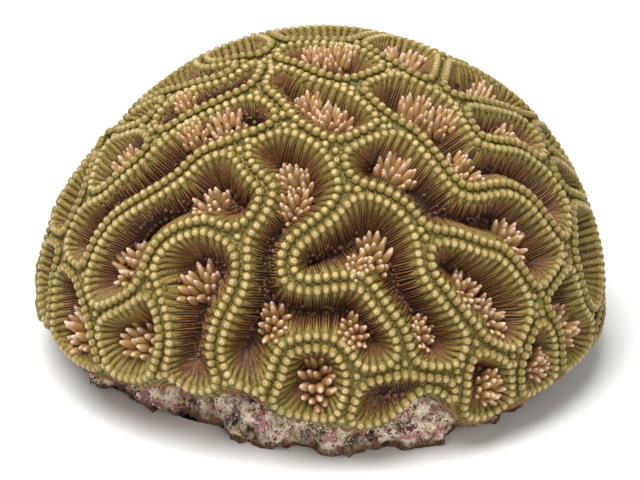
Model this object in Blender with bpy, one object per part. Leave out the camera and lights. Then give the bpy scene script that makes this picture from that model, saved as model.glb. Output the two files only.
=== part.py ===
"""Honeycomb coral: a domed colony of meandering and closed cups, on the piece of reef rock it grew on.

Metres, +Z up, front towards -Y. The rock's flat underside is at z = 0.
"""

import math
import random

import bmesh
import bpy
import numpy as np
from mathutils import Vector
from mathutils.kdtree import KDTree

MM = 0.001

# The colony's outer form at the tops of its ridges: a superellipsoid with a wavy, curled rim
DOME_HALF_WIDTH = 59.8 * MM
DOME_HALF_DEPTH = 52.0 * MM
DOME_HEIGHT = 56.6 * MM
DOME_DROP = 34.0 * MM
DOME_POWER = 1.88
DOME_SHIFT = 0.2 * MM
WIDEST_LEVEL = 12.0 * MM
LIP_HEIGHT = 4.5 * MM
LIP_REACH = 3.6 * MM
LIP_INNER_HEIGHT = 3.0 * MM
RIM_CREST_TURN = math.radians(30.0)
RECESS_CEILING = 13.0 * MM
RECESS_SHARE = 0.91
RECESS_CORNER = 1.5 * MM

# The cups' walls: how deep the surface lies at each distance from the middle of a ridge
WALL_DISTANCE = [-3.0, 0.0, 1.3, 2.0, 3.0, 4.0, 5.0, 6.0, 7.5, 12.0]
WALL_DEPTH = [0.1, 0.1, 0.15, 0.6, 2.2, 4.1, 5.7, 6.8, 7.6, 7.9]
CORNER_ROUNDING = 0.9 * MM
LEAST_PARTING = 0.5

# The ridges dip where three of them meet, so that each cup stands as a lobe of its own
JUNCTION_DIP = 1.1 * MM
JUNCTION_SPREAD = 2.0 * MM
JUNCTION_FADE = 2.0 * MM

# The walls between the cups and the underside keep at least this thickness
UNDERSIDE_START = 5.0 * MM
LEAST_WALL = 2.2 * MM
DEEP_CUP = 12.0 * MM
CLUSTER_HEIGHT = 4.0 * MM
CLUSTER_RADIUS = 3.6 * MM
CLUSTER_LEVEL = 3.5 * MM

# The reef rock below
ROCK_HALF_WIDTH = 48.5 * MM
ROCK_HALF_DEPTH = 44.6 * MM
ROCK_SHIFT = 1.4 * MM
ROCK_WIDEST_LEVEL = 6.0 * MM
ROCK_ABOVE_WIDEST = 17.0 * MM
ROCK_BELOW_WIDEST = 20.0 * MM
ROCK_SHOULDER_POWER = 2.6

# Where the rock reaches out, or stands back below 0: bearing and spread in degrees, and share of its reach
ROCK_LOBES = [(-155, 10, 0.06), (-127, 14, -0.12), (-98, 6, -0.04), (-81, 5, -0.03), (-68, 6, 0.04)]
ROCK_TOP = RECESS_CEILING - 0.3 * MM
ROCK_ROUGHNESS = 6.0 * MM

COLONY_TRIANGLES = 8600
ROCK_TRIANGLES_BEFORE_CUTS = 5400
SEED = 11

# Where the eye stands: the dome is seen from in front, 27 degrees above the level
EYE_ELEVATION = math.radians(27.0)
EYE_DISTANCE = 0.400
EYE_TARGET = (0.0001, 0.0, 0.0238)
EYE_FOCAL_PIXELS = 1933.0
EYE_CENTRE = (320.0, 240.0)

# Where the floor of each cup seen from the front runs, in pixels of that 640 x 480 view
CUP_FLOORS = {
    "left_long": [
        [(74, 244), (86, 222), (108, 199), (142, 181), (170, 152), (200, 128), (235, 110), (256, 109)],
    ],
    "left_second": [
        [(234, 202), (212, 176), (198, 190), (178, 202), (148, 212), (122, 232), (108, 256), (102, 276)],
    ],
    "left_hook": [[(188, 256), (218, 268), (196, 298), (189, 330), (188, 366)]],
    "left_low": [[(120, 338), (138, 338)]],
    "left_side": [[(60, 285), (64, 315), (72, 350)]],
    "left_edge": [[(47, 256), (42, 282)]],
    "left_edge_high": [[(70, 190), (58, 216)]],
    "shoulder_left": [[(102, 174), (118, 153), (132, 138)]],
    "shoulder_left_small": [[(146, 108)]],
    "upper_left": [[(160, 112), (186, 98), (216, 87), (248, 71)]],
    "upper_left_edge": [[(165, 78), (192, 70), (222, 66)]],
    "top_left": [[(220, 54), (250, 44)]],
    "top": [[(296, 50), (325, 54), (356, 57)]],
    "crown": [[(300, 30), (340, 29)]],
    "upper_middle": [[(277, 74), (290, 88), (325, 106), (352, 116)]],
    "middle_fork": [
        [(274, 150), (296, 164), (303, 190), (288, 216), (272, 238), (264, 262), (262, 290), (256, 320), (240, 352)],
        [(262, 300), (300, 312), (345, 316), (376, 345)],
    ],
    "front_ring": [[(318, 372), (318, 388)]],
    "middle_hook": [[(308, 258), (345, 244), (375, 228), (392, 250), (404, 285), (424, 320), (440, 352)]],
    "right_long": [
        [(376, 152), (400, 164), (430, 186), (450, 208), (476, 214), (506, 208), (532, 232), (550, 262)],
    ],
    "right_low": [[(455, 262), (484, 286), (508, 308), (512, 328)]],
    "right_second": [
        [(392, 90), (420, 100), (442, 116), (458, 142), (474, 170), (505, 163), (535, 174), (562, 206)],
    ],
    "top_right": [[(388, 44), (408, 50), (428, 62)]],
    "shoulder_right": [[(456, 76), (484, 88), (512, 98)]],
    "shoulder_right_low": [[(492, 122), (514, 124), (532, 136)]],
    "right_edge_high": [[(551, 142)]],
    "right_edge_small": [[(566, 172)]],
    "right_side_high": [[(584, 222), (590, 246), (594, 270)]],
    "right_side": [[(566, 292), (571, 318), (579, 342)]],
    "right_corner": [[(546, 348), (542, 370)]],
    "front_right": [[(492, 376), (494, 394)]],
    "front_low": [[(384, 404), (408, 400), (432, 394)]],
}

# Middles of the polyps' finger clusters seen from the front, in the same pixels
CLUSTERS = [
    (198, 136), (228, 128), (213, 203), (128, 262), (198, 282), (142, 338), (84, 328), (127, 160), (192, 105),
    (316, 62), (340, 62), (312, 106), (334, 118), (296, 178), (294, 204), (274, 320), (352, 328), (318, 380),
    (356, 264), (376, 252), (420, 330), (396, 168), (512, 238), (466, 288), (490, 314), (416, 108), (438, 122),
    (462, 168), (403, 60), (480, 95), (503, 135), (576, 252), (561, 322), (532, 360), (484, 382),
]

# The colony's lower edge: bearing in degrees from +X towards +Y, and level in millimetres
LOWER_EDGE = [
    (-175, 9.5), (-166, 9.5), (-157, 10.5), (-149, 9.0), (-141, 10.0), (-133, 11.0), (-127, 12.0),
    (-123, 15.0), (-118, 12.0), (-114, 12.5), (-110, 15.5), (-104, 14.5), (-100, 10.5), (-96, 10.0),
    (-88, 9.0), (-81, 7.0), (-74, 9.0), (-68, 15.0), (-64, 13.0), (-61, 7.0), (-56, 4.0), (-48, 6.0),
    (-39, 6.2), (-28, 7.0),
]
HIDDEN_EDGE_LEVEL = 8.0 * MM
HIDDEN_EDGE_WAVE = 1.6 * MM

# The cups out of that view follow a rule: seeds wound evenly over the dome, some joined into longer cups
HIDDEN_SEEDS = 104
HIDDEN_LOWEST_SHARE = 1.12
HIDDEN_FRONT_LIMIT = -24.0 * MM
HIDDEN_CLEARANCE = 12.0 * MM
HIDDEN_JOIN = 17.5 * MM
HIDDEN_SHORT = (3.0 * MM, 9.0 * MM)
GOLDEN_ANGLE = math.pi * (3.0 - math.sqrt(5.0))

CENTRE = np.array([DOME_SHIFT, 0.0, WIDEST_LEVEL])

# Where the dome stands back, or out below 0: bearing, elevation and spread in degrees, and millimetres
DENTS = [(155, 36, 22, 1.9), (26, 34, 20, -1.5)]

# How finely the colony's outer form is laid out before its points are spread over it
BEARINGS = 360
ARC_STEPS = 90
LIP_STEPS = 24
EDGE_SMOOTHING = 2.2
CEILING_SHARE = 0.3


def clear_scene():
    """Removes every object of the open scene."""
    for old in list(bpy.data.objects):
        bpy.data.objects.remove(old, do_unlink=True)


def new_collection(name, shown=True):
    """Makes a collection under the scene."""
    made = bpy.data.collections.new(name)
    made.hide_render = not shown
    bpy.context.scene.collection.children.link(made)
    return made


def new_material(name, colour, roughness):
    """Makes a plain non-metal material."""
    made = bpy.data.materials.new(name)
    made.use_nodes = True
    shader = made.node_tree.nodes["Principled BSDF"]
    shader.inputs["Base Color"].default_value = (*colour, 1.0)
    shader.inputs["Roughness"].default_value = roughness
    shader.inputs["Metallic"].default_value = 0.0
    made.diffuse_color = (*colour, 1.0)
    return made


def unit(vectors):
    """Vectors of length one."""
    return vectors / np.maximum(np.linalg.norm(vectors, axis=-1, keepdims=True), 1e-12)


def dome_field(points, inset=0.0):
    """Below 0 inside the dome, about the distance to its surface in metres."""
    offset = points - CENTRE
    across = np.hypot(offset[..., 0] / (DOME_HALF_WIDTH - inset), offset[..., 1] / (DOME_HALF_DEPTH - inset))
    tall = np.where(offset[..., 2] > 0, DOME_HEIGHT - inset, DOME_DROP)
    radius = (across**DOME_POWER + np.abs(offset[..., 2] / tall) ** DOME_POWER) ** (1.0 / DOME_POWER)
    return (radius - 1.0) * DOME_HALF_DEPTH


def dome_point(direction):
    """The dome's surface in a direction from its centre."""
    length = np.linalg.norm(direction, axis=-1, keepdims=True)
    across = np.hypot(direction[..., 0] / DOME_HALF_WIDTH, direction[..., 1] / DOME_HALF_DEPTH)
    tall = np.where(direction[..., 2] > 0, DOME_HEIGHT, DOME_DROP)
    radius = (across**DOME_POWER + np.abs(direction[..., 2] / tall) ** DOME_POWER) ** (-1.0 / DOME_POWER)
    return CENTRE + direction / length * (radius[..., None] * length)


def sight_lines(pixels):
    """Eye position and the directions of the given pixels of the front view."""
    back = np.array([0.0, -math.cos(EYE_ELEVATION), math.sin(EYE_ELEVATION)])
    right = np.array([1.0, 0.0, 0.0])
    up = np.cross(back, right)
    across = (pixels[:, :1] - EYE_CENTRE[0]) / EYE_FOCAL_PIXELS
    above = (EYE_CENTRE[1] - pixels[:, 1:]) / EYE_FOCAL_PIXELS
    return np.array(EYE_TARGET) + back * EYE_DISTANCE, unit(-back + right * across + up * above)


def seen_point(pixels, inset=0.0):
    """The first point of the dome that each pixel of the front view meets."""
    pixels = np.asarray(pixels, float)
    eye, lines = sight_lines(pixels)
    steps = np.linspace(0.27, 0.46, 400)
    field = dome_field(eye + lines[:, None, :] * steps[None, :, None], inset)
    inside = field < 0
    first = np.where(inside.any(axis=1), inside.argmax(axis=1), field.argmin(axis=1))
    low = steps[np.maximum(first - 1, 0)]
    high = steps[first]
    for _ in range(30):
        middle = (low + high) / 2
        within = dome_field(eye + lines * middle[:, None], inset) < 0
        high = np.where(within, middle, high)
        low = np.where(within, low, middle)
    return eye + lines * high[:, None]


def smooth_line(points, steps=4):
    """A curve through the points, as points closer together, on the dome."""
    points = np.asarray(points, float)
    if len(points) < 3:
        return points
    ends = np.vstack([2 * points[0] - points[1], points, 2 * points[-1] - points[-2]])
    curve = []
    for k in range(len(points) - 1):
        a, b, c, d = ends[k : k + 4]
        for t in np.arange(steps) / steps:
            curve.append(
                0.5 * (2 * b + (c - a) * t + (2 * a - 5 * b + 4 * c - d) * t**2 + (3 * b - a - 3 * c + d) * t**3)
            )
    curve.append(points[-1])
    return dome_point(np.array(curve) - CENTRE)


def line_foot(points, line):
    """Distance from each point to a line of joined segments, and the nearest place on it."""
    best = np.linalg.norm(points - line[0], axis=1)
    foot = np.repeat(line[:1], len(points), axis=0)
    for start, end in zip(line[:-1], line[1:]):
        along = end - start
        share = np.clip(((points - start) @ along) / max(float(along @ along), 1e-12), 0.0, 1.0)
        place = start + share[:, None] * along
        away = np.linalg.norm(points - place, axis=1)
        nearer = away < best
        best[nearer] = away[nearer]
        foot[nearer] = place[nearer]
    return best, foot


def hidden_cups(seen):
    """Cups for the sides and the back, from evenly wound seeds, some joined."""
    draw = random.Random(SEED)
    seeds = []
    for k in range(HIDDEN_SEEDS):
        level = 1.0 - (k + 0.5) / HIDDEN_SEEDS * HIDDEN_LOWEST_SHARE
        reach = math.sqrt(max(0.0, 1.0 - level * level))
        turn = k * GOLDEN_ANGLE
        point = dome_point(np.array([reach * math.cos(turn), reach * math.sin(turn), level]))
        near = min(line_foot(point[None], line)[0][0] for lines in seen for line in lines)
        if point[1] > HIDDEN_FRONT_LIMIT and near > HIDDEN_CLEARANCE:
            seeds.append(point)
    cups = []
    free = list(range(len(seeds)))
    while free:
        run = [free.pop(0)]
        for _ in range(draw.choice((0, 1, 1, 2))):
            near = [k for k in free if np.linalg.norm(seeds[k] - seeds[run[-1]]) < HIDDEN_JOIN]
            if near:
                run.append(min(near, key=lambda k: np.linalg.norm(seeds[k] - seeds[run[-1]])))
                free.remove(run[-1])
        if len(run) > 1:
            line = [seeds[run[0]]]
            for k in run[1:]:
                line += [dome_point((line[-1] + seeds[k]) / 2 - CENTRE), seeds[k]]
        else:
            outward = unit(seeds[run[0]] - CENTRE)
            level_way = unit(np.cross(outward, np.array([0.0, 0.0, 1.0])))
            turn = draw.uniform(0.0, math.pi)
            way = math.cos(turn) * level_way + math.sin(turn) * np.cross(level_way, outward)
            half = draw.uniform(*HIDDEN_SHORT) / 2
            line = [dome_point(seeds[run[0]] + side * half * way - CENTRE) for side in (-1, 1)]
        cups.append([smooth_line(line)])
    return cups


def all_cups():
    """The floor lines of every cup, those seen from the front first."""
    seen = [[smooth_line(seen_point(line)) for line in lines] for lines in CUP_FLOORS.values()]
    return seen + hidden_cups(seen)


def wall_room(points, above_rim):
    """How deep a cup may go at each point before its wall towards the underside grows too thin."""
    below = np.flatnonzero(above_rim < -UNDERSIDE_START)
    tree = KDTree(len(below))
    for index in below:
        tree.insert(points[index], int(index))
    tree.balance()
    room = np.full(len(points), 1.0)
    for index in np.flatnonzero((above_rim >= -UNDERSIDE_START) & (points[:, 2] < RECESS_CEILING + DEEP_CUP)):
        room[index] = tree.find(points[index])[2] - LEAST_WALL
    return np.maximum(room, 0.3 * MM)


def edge_levels():
    """Level of the colony's lower edge at each of the evenly spaced bearings, from -180 degrees round."""
    points = [(bearing, level * MM) for bearing, level in LOWER_EDGE]
    for bearing in range(-14, 196, 14):
        turn = math.radians(bearing)
        wave = math.sin(5 * turn + 0.6) + 0.6 * math.sin(9 * turn)
        points.append((bearing, HIDDEN_EDGE_LEVEL + HIDDEN_EDGE_WAVE * wave))
    bearings, levels = np.array(sorted(points)).T
    level = np.interp(np.linspace(-180.0, 180.0, BEARINGS, endpoint=False), bearings, levels, period=360.0)
    offsets = np.arange(-9, 10)
    weights = np.exp(-0.5 * (offsets / EDGE_SMOOTHING) ** 2)
    return sum(weight * np.roll(level, shift) for weight, shift in zip(weights, offsets)) / weights.sum()


def quarter(start, centre, end, steps):
    """A quarter of an ellipse between two points, with its axes level and upright."""
    turn = np.linspace(0.0, math.pi / 2, steps + 1)[1:]
    return centre + np.outer(np.cos(turn), start - centre) + np.outer(np.sin(turn), end - centre)


def dent_depth(bearing, elevation):
    """How far the dome stands back in a direction from its centre."""
    total = 0.0
    for dent_bearing, dent_elevation, spread, depth in DENTS:
        turn = bearing - math.radians(dent_bearing)
        rise = math.radians(dent_elevation)
        near = np.sin(elevation) * math.sin(rise) + np.cos(elevation) * math.cos(rise) * math.cos(turn)
        away = np.degrees(np.arccos(np.clip(near, -1.0, 1.0)))
        total = total + depth * MM * np.exp(-((away / spread) ** 2))
    return total


def profile(bearing, edge):
    """The colony's outline from its top over its rim to the middle of its underside, and its rim's place."""
    wide = 1.0 / math.hypot(math.cos(bearing) / DOME_HALF_WIDTH, math.sin(bearing) / DOME_HALF_DEPTH)
    top = WIDEST_LEVEL + DOME_HEIGHT
    turn = np.linspace(math.pi / 2, -0.6, 400)
    tall = np.where(turn > 0, DOME_HEIGHT, DOME_DROP)
    level = WIDEST_LEVEL + tall * np.sign(turn) * np.abs(np.sin(turn)) ** (2 / DOME_POWER)
    reach = wide * np.abs(np.cos(turn)) ** (2 / DOME_POWER)
    level[0] = top
    elevation = np.arctan2(level - WIDEST_LEVEL, reach)
    dent = dent_depth(bearing, elevation)
    reach = reach - dent * np.cos(elevation)
    level = level - dent * np.sin(elevation)
    lip_top = edge + LIP_HEIGHT
    keep = level > lip_top
    lip_reach = np.interp(-lip_top, -level, reach)
    dome = np.column_stack([np.append(reach[keep], lip_reach), np.append(level[keep], lip_top)])
    middle = lip_reach - LIP_REACH
    lip = quarter(dome[-1], np.array([middle, lip_top]), np.array([middle, edge]), LIP_STEPS)
    recess = wide * RECESS_SHARE
    inner = np.array([recess, edge + LIP_INNER_HEIGHT])
    under = quarter(lip[-1], np.array([middle, inner[1]]), inner, LIP_STEPS)
    corner = np.array([recess, max(RECESS_CEILING - RECESS_CORNER, inner[1])])
    turned = np.array([recess - RECESS_CORNER, RECESS_CEILING])
    bend = quarter(corner, np.array([turned[0], corner[1]]), turned, LIP_STEPS // 4)
    line = np.vstack([dome, lip, under, corner, bend, [[0.0, RECESS_CEILING]]])
    crest = len(dome) + int(LIP_STEPS * RIM_CREST_TURN / (math.pi / 2))
    return line, crest


def colony_surface(sphere):
    """Points spread evenly over the colony's outer form, one for each direction of an even sphere.

    With each comes its height above the rim's crest, measured along the surface.
    """
    columns = []
    for bearing, edge in zip(np.linspace(-math.pi, math.pi, BEARINGS, endpoint=False), edge_levels()):
        line, crest = profile(bearing, edge)
        steps = np.linalg.norm(np.diff(line, axis=0), axis=1)
        length = np.append(0.0, np.cumsum(steps))
        spread = np.append(0.0, np.cumsum(steps * np.append(np.ones(len(steps) - 1), CEILING_SHARE)))
        share = np.linspace(0.0, 1.0, ARC_STEPS + 1) * spread[-1]
        columns.append(
            np.column_stack([
                np.interp(share, spread, line[:, 0]),
                np.interp(share, spread, line[:, 1]),
                length[crest] - np.interp(share, spread, length),
            ])
        )
    table = np.array(columns + columns[:1])
    column = (np.arctan2(sphere[:, 1], sphere[:, 0]) + math.pi) / (2 * math.pi) * BEARINGS
    row = np.arccos(np.clip(sphere[:, 2], -1.0, 1.0)) / math.pi * ARC_STEPS
    left = np.clip(column.astype(int), 0, BEARINGS - 1)
    top = np.clip(row.astype(int), 0, ARC_STEPS - 1)
    across = (column - left)[:, None]
    down = (row - top)[:, None]
    upper = table[left, top] * (1 - across) + table[left + 1, top] * across
    lower = table[left, top + 1] * (1 - across) + table[left + 1, top + 1] * across
    found = upper * (1 - down) + lower * down
    way = unit(sphere[:, :2])
    points = np.column_stack([DOME_SHIFT + way[:, 0] * found[:, 0], way[:, 1] * found[:, 0], found[:, 1]])
    return points, found[:, 2]


def ridge_distance(points, above_rim, cups):
    """Distance of each point from the middle of the nearest ridge, and how far the ridges dip there."""
    away = np.full((len(cups), len(points)), 1.0)
    toward = np.zeros((len(cups), len(points), 3))
    for cup, lines in enumerate(cups):
        for line in lines:
            distance, foot = line_foot(points, line)
            nearer = distance < away[cup]
            away[cup][nearer] = distance[nearer]
            toward[cup][nearer] = unit(foot - points)[nearer]
    nearest = away.argmin(axis=0)
    own = toward[nearest, np.arange(len(points))]
    parting = np.linalg.norm(toward - own, axis=2)
    beyond = (away - away.min(axis=0)) / np.maximum(parting, LEAST_PARTING)
    beyond[nearest, np.arange(len(points))] = 1.0
    weights = np.exp(-beyond / CORNER_ROUNDING).sum(axis=0)
    rim = np.exp(-np.clip(above_rim, -0.02, 0.2) / CORNER_ROUNDING)
    meeting = np.exp(-beyond / JUNCTION_SPREAD).sum(axis=0)
    meeting += np.exp(-np.clip(above_rim, 0.0, 0.2) / JUNCTION_SPREAD)
    fade = np.clip(1.0 + above_rim / JUNCTION_FADE, 0.0, 1.0)
    dip = JUNCTION_DIP * np.clip(meeting - 1.0, 0.0, 1.0) * fade
    return -CORNER_ROUNDING * np.log(weights + rim), dip


def cluster_rise(points, cups):
    """How far the polyps' finger clusters lift the cups' floors."""
    seen = seen_point(CLUSTERS, CLUSTER_LEVEL)
    centres = [point + unit(point - CENTRE) * CLUSTER_LEVEL for point in seen]
    for lines in cups[len(CUP_FLOORS) :]:
        count = max(1, len(lines[0]) // 4)
        centres += [lines[0][(2 * k + 1) * len(lines[0]) // (2 * count)] for k in range(count)]
    rise = np.zeros(len(points))
    for centre in centres:
        away = np.linalg.norm(points - centre, axis=1) / CLUSTER_RADIUS
        rise = np.maximum(rise, CLUSTER_HEIGHT * np.exp(-(away**2)))
    return rise


def build_colony(collection, material):
    """The colony: cups and ridges raised on its outer form, brought down to few faces."""
    form = bmesh.new()
    bmesh.ops.create_icosphere(form, subdivisions=7, radius=1.0)
    cups = all_cups()
    surface, above_rim = colony_surface(np.array([vertex.co[:] for vertex in form.verts]))
    for vertex, point in zip(form.verts, surface):
        vertex.co = Vector(point)
    form.normal_update()
    normals = np.array([vertex.normal[:] for vertex in form.verts])
    ridge, dip = ridge_distance(surface, above_rim, cups)
    depth = np.interp(ridge / MM, WALL_DISTANCE, WALL_DEPTH) * MM + dip
    depth = np.minimum(depth, wall_room(surface, above_rim))
    depth -= np.minimum(cluster_rise(surface, cups), np.maximum(depth - 2.2 * MM, 0.0))
    for vertex, point in zip(form.verts, surface - normals * depth[:, None]):
        vertex.co = Vector(point)
    bmesh.ops.recalc_face_normals(form, faces=form.faces)
    mesh = bpy.data.meshes.new("coral_colony")
    form.to_mesh(mesh)
    faces = len(form.faces)
    form.free()
    colony = bpy.data.objects.new("coral_colony", mesh)
    mesh.materials.append(material)
    collection.objects.link(colony)
    soften = colony.modifiers.new("soft folds", "SMOOTH")
    soften.factor = 0.5
    soften.iterations = 8
    fewer = colony.modifiers.new("fewer faces", "DECIMATE")
    fewer.ratio = COLONY_TRIANGLES / faces
    return colony


def build_rock(collection, cutters, material):
    """The reef rock: a lumpy, pitted slab with a flat cut below and a flat top under the colony."""
    form = bmesh.new()
    bmesh.ops.create_icosphere(form, subdivisions=5, radius=1.0)
    for vertex in form.verts:
        way = vertex.co.normalized()
        turn = math.atan2(way.y, way.x)
        wave = 1.0 + 0.008 * math.sin(3 * turn + 1.0) + 0.008 * math.sin(8 * turn + 0.4)
        for bearing, spread, share in ROCK_LOBES:
            wave += share * math.exp(-(((math.degrees(turn) - bearing) / spread) ** 2))
        level = math.copysign(abs(way.z) ** 0.45, way.z)
        reach = wave * math.sqrt(max(0.0, 1.0 - abs(level) ** ROCK_SHOULDER_POWER))
        across = math.hypot(way.x, way.y) or 1.0
        vertex.co = Vector((
            ROCK_SHIFT + way.x / across * reach * ROCK_HALF_WIDTH,
            way.y / across * reach * ROCK_HALF_DEPTH,
            ROCK_WIDEST_LEVEL + level * (ROCK_ABOVE_WIDEST if level > 0 else ROCK_BELOW_WIDEST),
        ))
    mesh = bpy.data.meshes.new("base_rock")
    form.to_mesh(mesh)
    faces = len(form.faces)
    form.free()
    rock = bpy.data.objects.new("base_rock", mesh)
    mesh.materials.append(material)
    collection.objects.link(rock)
    for name, size, strength in (("lumps", 0.011, ROCK_ROUGHNESS), ("pits", 0.0042, ROCK_ROUGHNESS * 0.4)):
        texture = bpy.data.textures.new(name, "CLOUDS")
        texture.noise_scale = size
        texture.noise_depth = 1
        rough = rock.modifiers.new(name, "DISPLACE")
        rough.texture = texture
        rough.texture_coords = "LOCAL"
        rough.strength = strength
        rough.mid_level = 0.5
    fewer = rock.modifiers.new("fewer faces", "DECIMATE")
    fewer.ratio = ROCK_TRIANGLES_BEFORE_CUTS / faces
    slab = bmesh.new()
    bmesh.ops.create_cube(slab, size=1.0)
    bmesh.ops.scale(slab, vec=(0.2, 0.2, ROCK_TOP), verts=slab.verts)
    bmesh.ops.translate(slab, vec=(0.0, 0.0, ROCK_TOP / 2), verts=slab.verts)
    slab_mesh = bpy.data.meshes.new("rock_slab")
    slab.to_mesh(slab_mesh)
    slab.free()
    cutter = bpy.data.objects.new("rock_slab", slab_mesh)
    cutter.hide_render = True
    cutter.display_type = "WIRE"
    cutters.objects.link(cutter)
    flat = rock.modifiers.new("flat cuts", "BOOLEAN")
    flat.operation = "INTERSECT"
    flat.solver = "EXACT"
    flat.object = cutter
    return rock


def main():
    """Builds the coral and its rock."""
    clear_scene()
    parts = new_collection("honeycomb_coral")
    cutters = new_collection("cutters", shown=False)
    tissue = new_material("coral tissue", (0.36, 0.33, 0.12), 0.55)
    stone = new_material("reef rock", (0.42, 0.33, 0.29), 0.9)
    build_colony(parts, tissue)
    build_rock(parts, cutters, stone)


main()
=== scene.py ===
"""Honeycomb coral: dresses the colony and its reef rock, lights them and looks at them from the front.

Metres, +Z up, front towards -Y, in the frame of the packed solids.
"""

import functools
import math
import random

import bmesh
import bpy
import numpy as np
from mathutils import Matrix, Vector, noise
from mathutils.bvhtree import BVHTree
from mathutils.kdtree import KDTree


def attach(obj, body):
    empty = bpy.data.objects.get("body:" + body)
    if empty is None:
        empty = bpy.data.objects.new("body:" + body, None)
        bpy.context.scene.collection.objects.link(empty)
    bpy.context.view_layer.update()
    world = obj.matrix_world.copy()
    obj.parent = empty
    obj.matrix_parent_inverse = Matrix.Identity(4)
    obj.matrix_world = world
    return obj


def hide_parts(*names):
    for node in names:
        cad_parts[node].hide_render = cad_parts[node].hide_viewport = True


bl_info = {
    "name": "Honeycomb coral",
    "version": (1, 0, 0),
    "blender": (4, 5, 0),
    "location": "3D View > Sidebar > Coral",
    "description": "Builds a honeycomb coral colony on its reef rock",
    "category": "Object",
}

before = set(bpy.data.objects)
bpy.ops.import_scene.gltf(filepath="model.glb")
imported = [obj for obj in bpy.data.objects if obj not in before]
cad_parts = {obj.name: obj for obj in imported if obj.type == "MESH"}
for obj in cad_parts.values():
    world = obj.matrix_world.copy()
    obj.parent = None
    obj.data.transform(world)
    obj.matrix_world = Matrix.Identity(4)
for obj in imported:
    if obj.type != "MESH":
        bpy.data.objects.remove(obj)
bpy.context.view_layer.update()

MM = 0.001
BODY = "root"

# The colony's outer form at the tops of its ridges: a superellipsoid with a wavy, curled rim
DOME_HALF_WIDTH = 59.8 * MM
DOME_HALF_DEPTH = 52.0 * MM
DOME_HEIGHT = 56.6 * MM
DOME_DROP = 34.0 * MM
DOME_POWER = 1.88
DOME_SHIFT = 0.2 * MM
WIDEST_LEVEL = 12.0 * MM
LIP_HEIGHT = 4.5 * MM
LIP_REACH = 3.6 * MM
LIP_INNER_HEIGHT = 3.0 * MM
RIM_CREST_TURN = math.radians(30.0)
RECESS_CEILING = 13.0 * MM
RECESS_SHARE = 0.91
RECESS_CORNER = 1.5 * MM
CENTRE = np.array([DOME_SHIFT, 0.0, WIDEST_LEVEL])

# Where the dome stands back, or out below 0: bearing, elevation and spread in degrees, and millimetres
DENTS = [(155, 36, 22, 1.9), (26, 34, 20, -1.5)]

# The cups' walls: how deep the skin lies at each distance from the middle of a ridge, in millimetres
WALL_DISTANCE = [-8.0, -2.5, -0.6, 0.0, 0.6, 1.3, 2.0, 2.6, 3.3, 4.1, 5.0, 6.0, 7.5, 12.0]
WALL_DEPTH = [0.3, 0.7, 1.2, 1.3, 1.2, 1.0, 1.3, 1.95, 3.0, 4.5, 6.0, 7.2, 8.0, 8.2]
CORNER_ROUNDING = 0.9 * MM
LEAST_PARTING = 0.5
JUNCTION_DIP = 1.1 * MM
JUNCTION_SPREAD = 2.0 * MM
JUNCTION_FADE = 2.0 * MM
UNDERSIDE_START = 5.0 * MM
LEAST_WALL = 2.2 * MM
DEEP_CUP = 12.0 * MM
CLUSTER_LEVEL = 3.5 * MM
CLUSTER_LEAN = 1.6 * MM
CLUSTER_CLEARANCE = 6.5 * MM
WEDGE_START = 3.0 * MM
WEDGE_PITCH = 1.3 * MM
BARE_REACH = 0.85 * MM
SEED = 11

# The reef rock below
ROCK_HALF_WIDTH = 48.5 * MM
ROCK_HALF_DEPTH = 44.6 * MM
ROCK_SHIFT = 1.4 * MM
ROCK_WIDEST_LEVEL = 6.0 * MM
ROCK_ABOVE_WIDEST = 17.0 * MM
ROCK_BELOW_WIDEST = 20.0 * MM
ROCK_SHOULDER_POWER = 2.6
ROCK_TOP = RECESS_CEILING - 0.3 * MM
ROCK_ROUGHNESS = 6.0 * MM
ROCK_LOBES = [(-155, 10, 0.06), (-127, 14, -0.12), (-98, 6, -0.04), (-81, 5, -0.03), (-68, 6, 0.04)]

# Where the eye stands: the dome is seen from in front, 27 degrees above the level
EYE_ELEVATION = math.radians(27.0)
EYE_DISTANCE = 0.400
EYE_TARGET = (0.0001, 0.0, 0.0238)
EYE_FOCAL_PIXELS = 1933.0
EYE_CENTRE = (320.0, 240.0)
IMAGE_WIDTH = 640
SENSOR_WIDTH = 36.0

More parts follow.
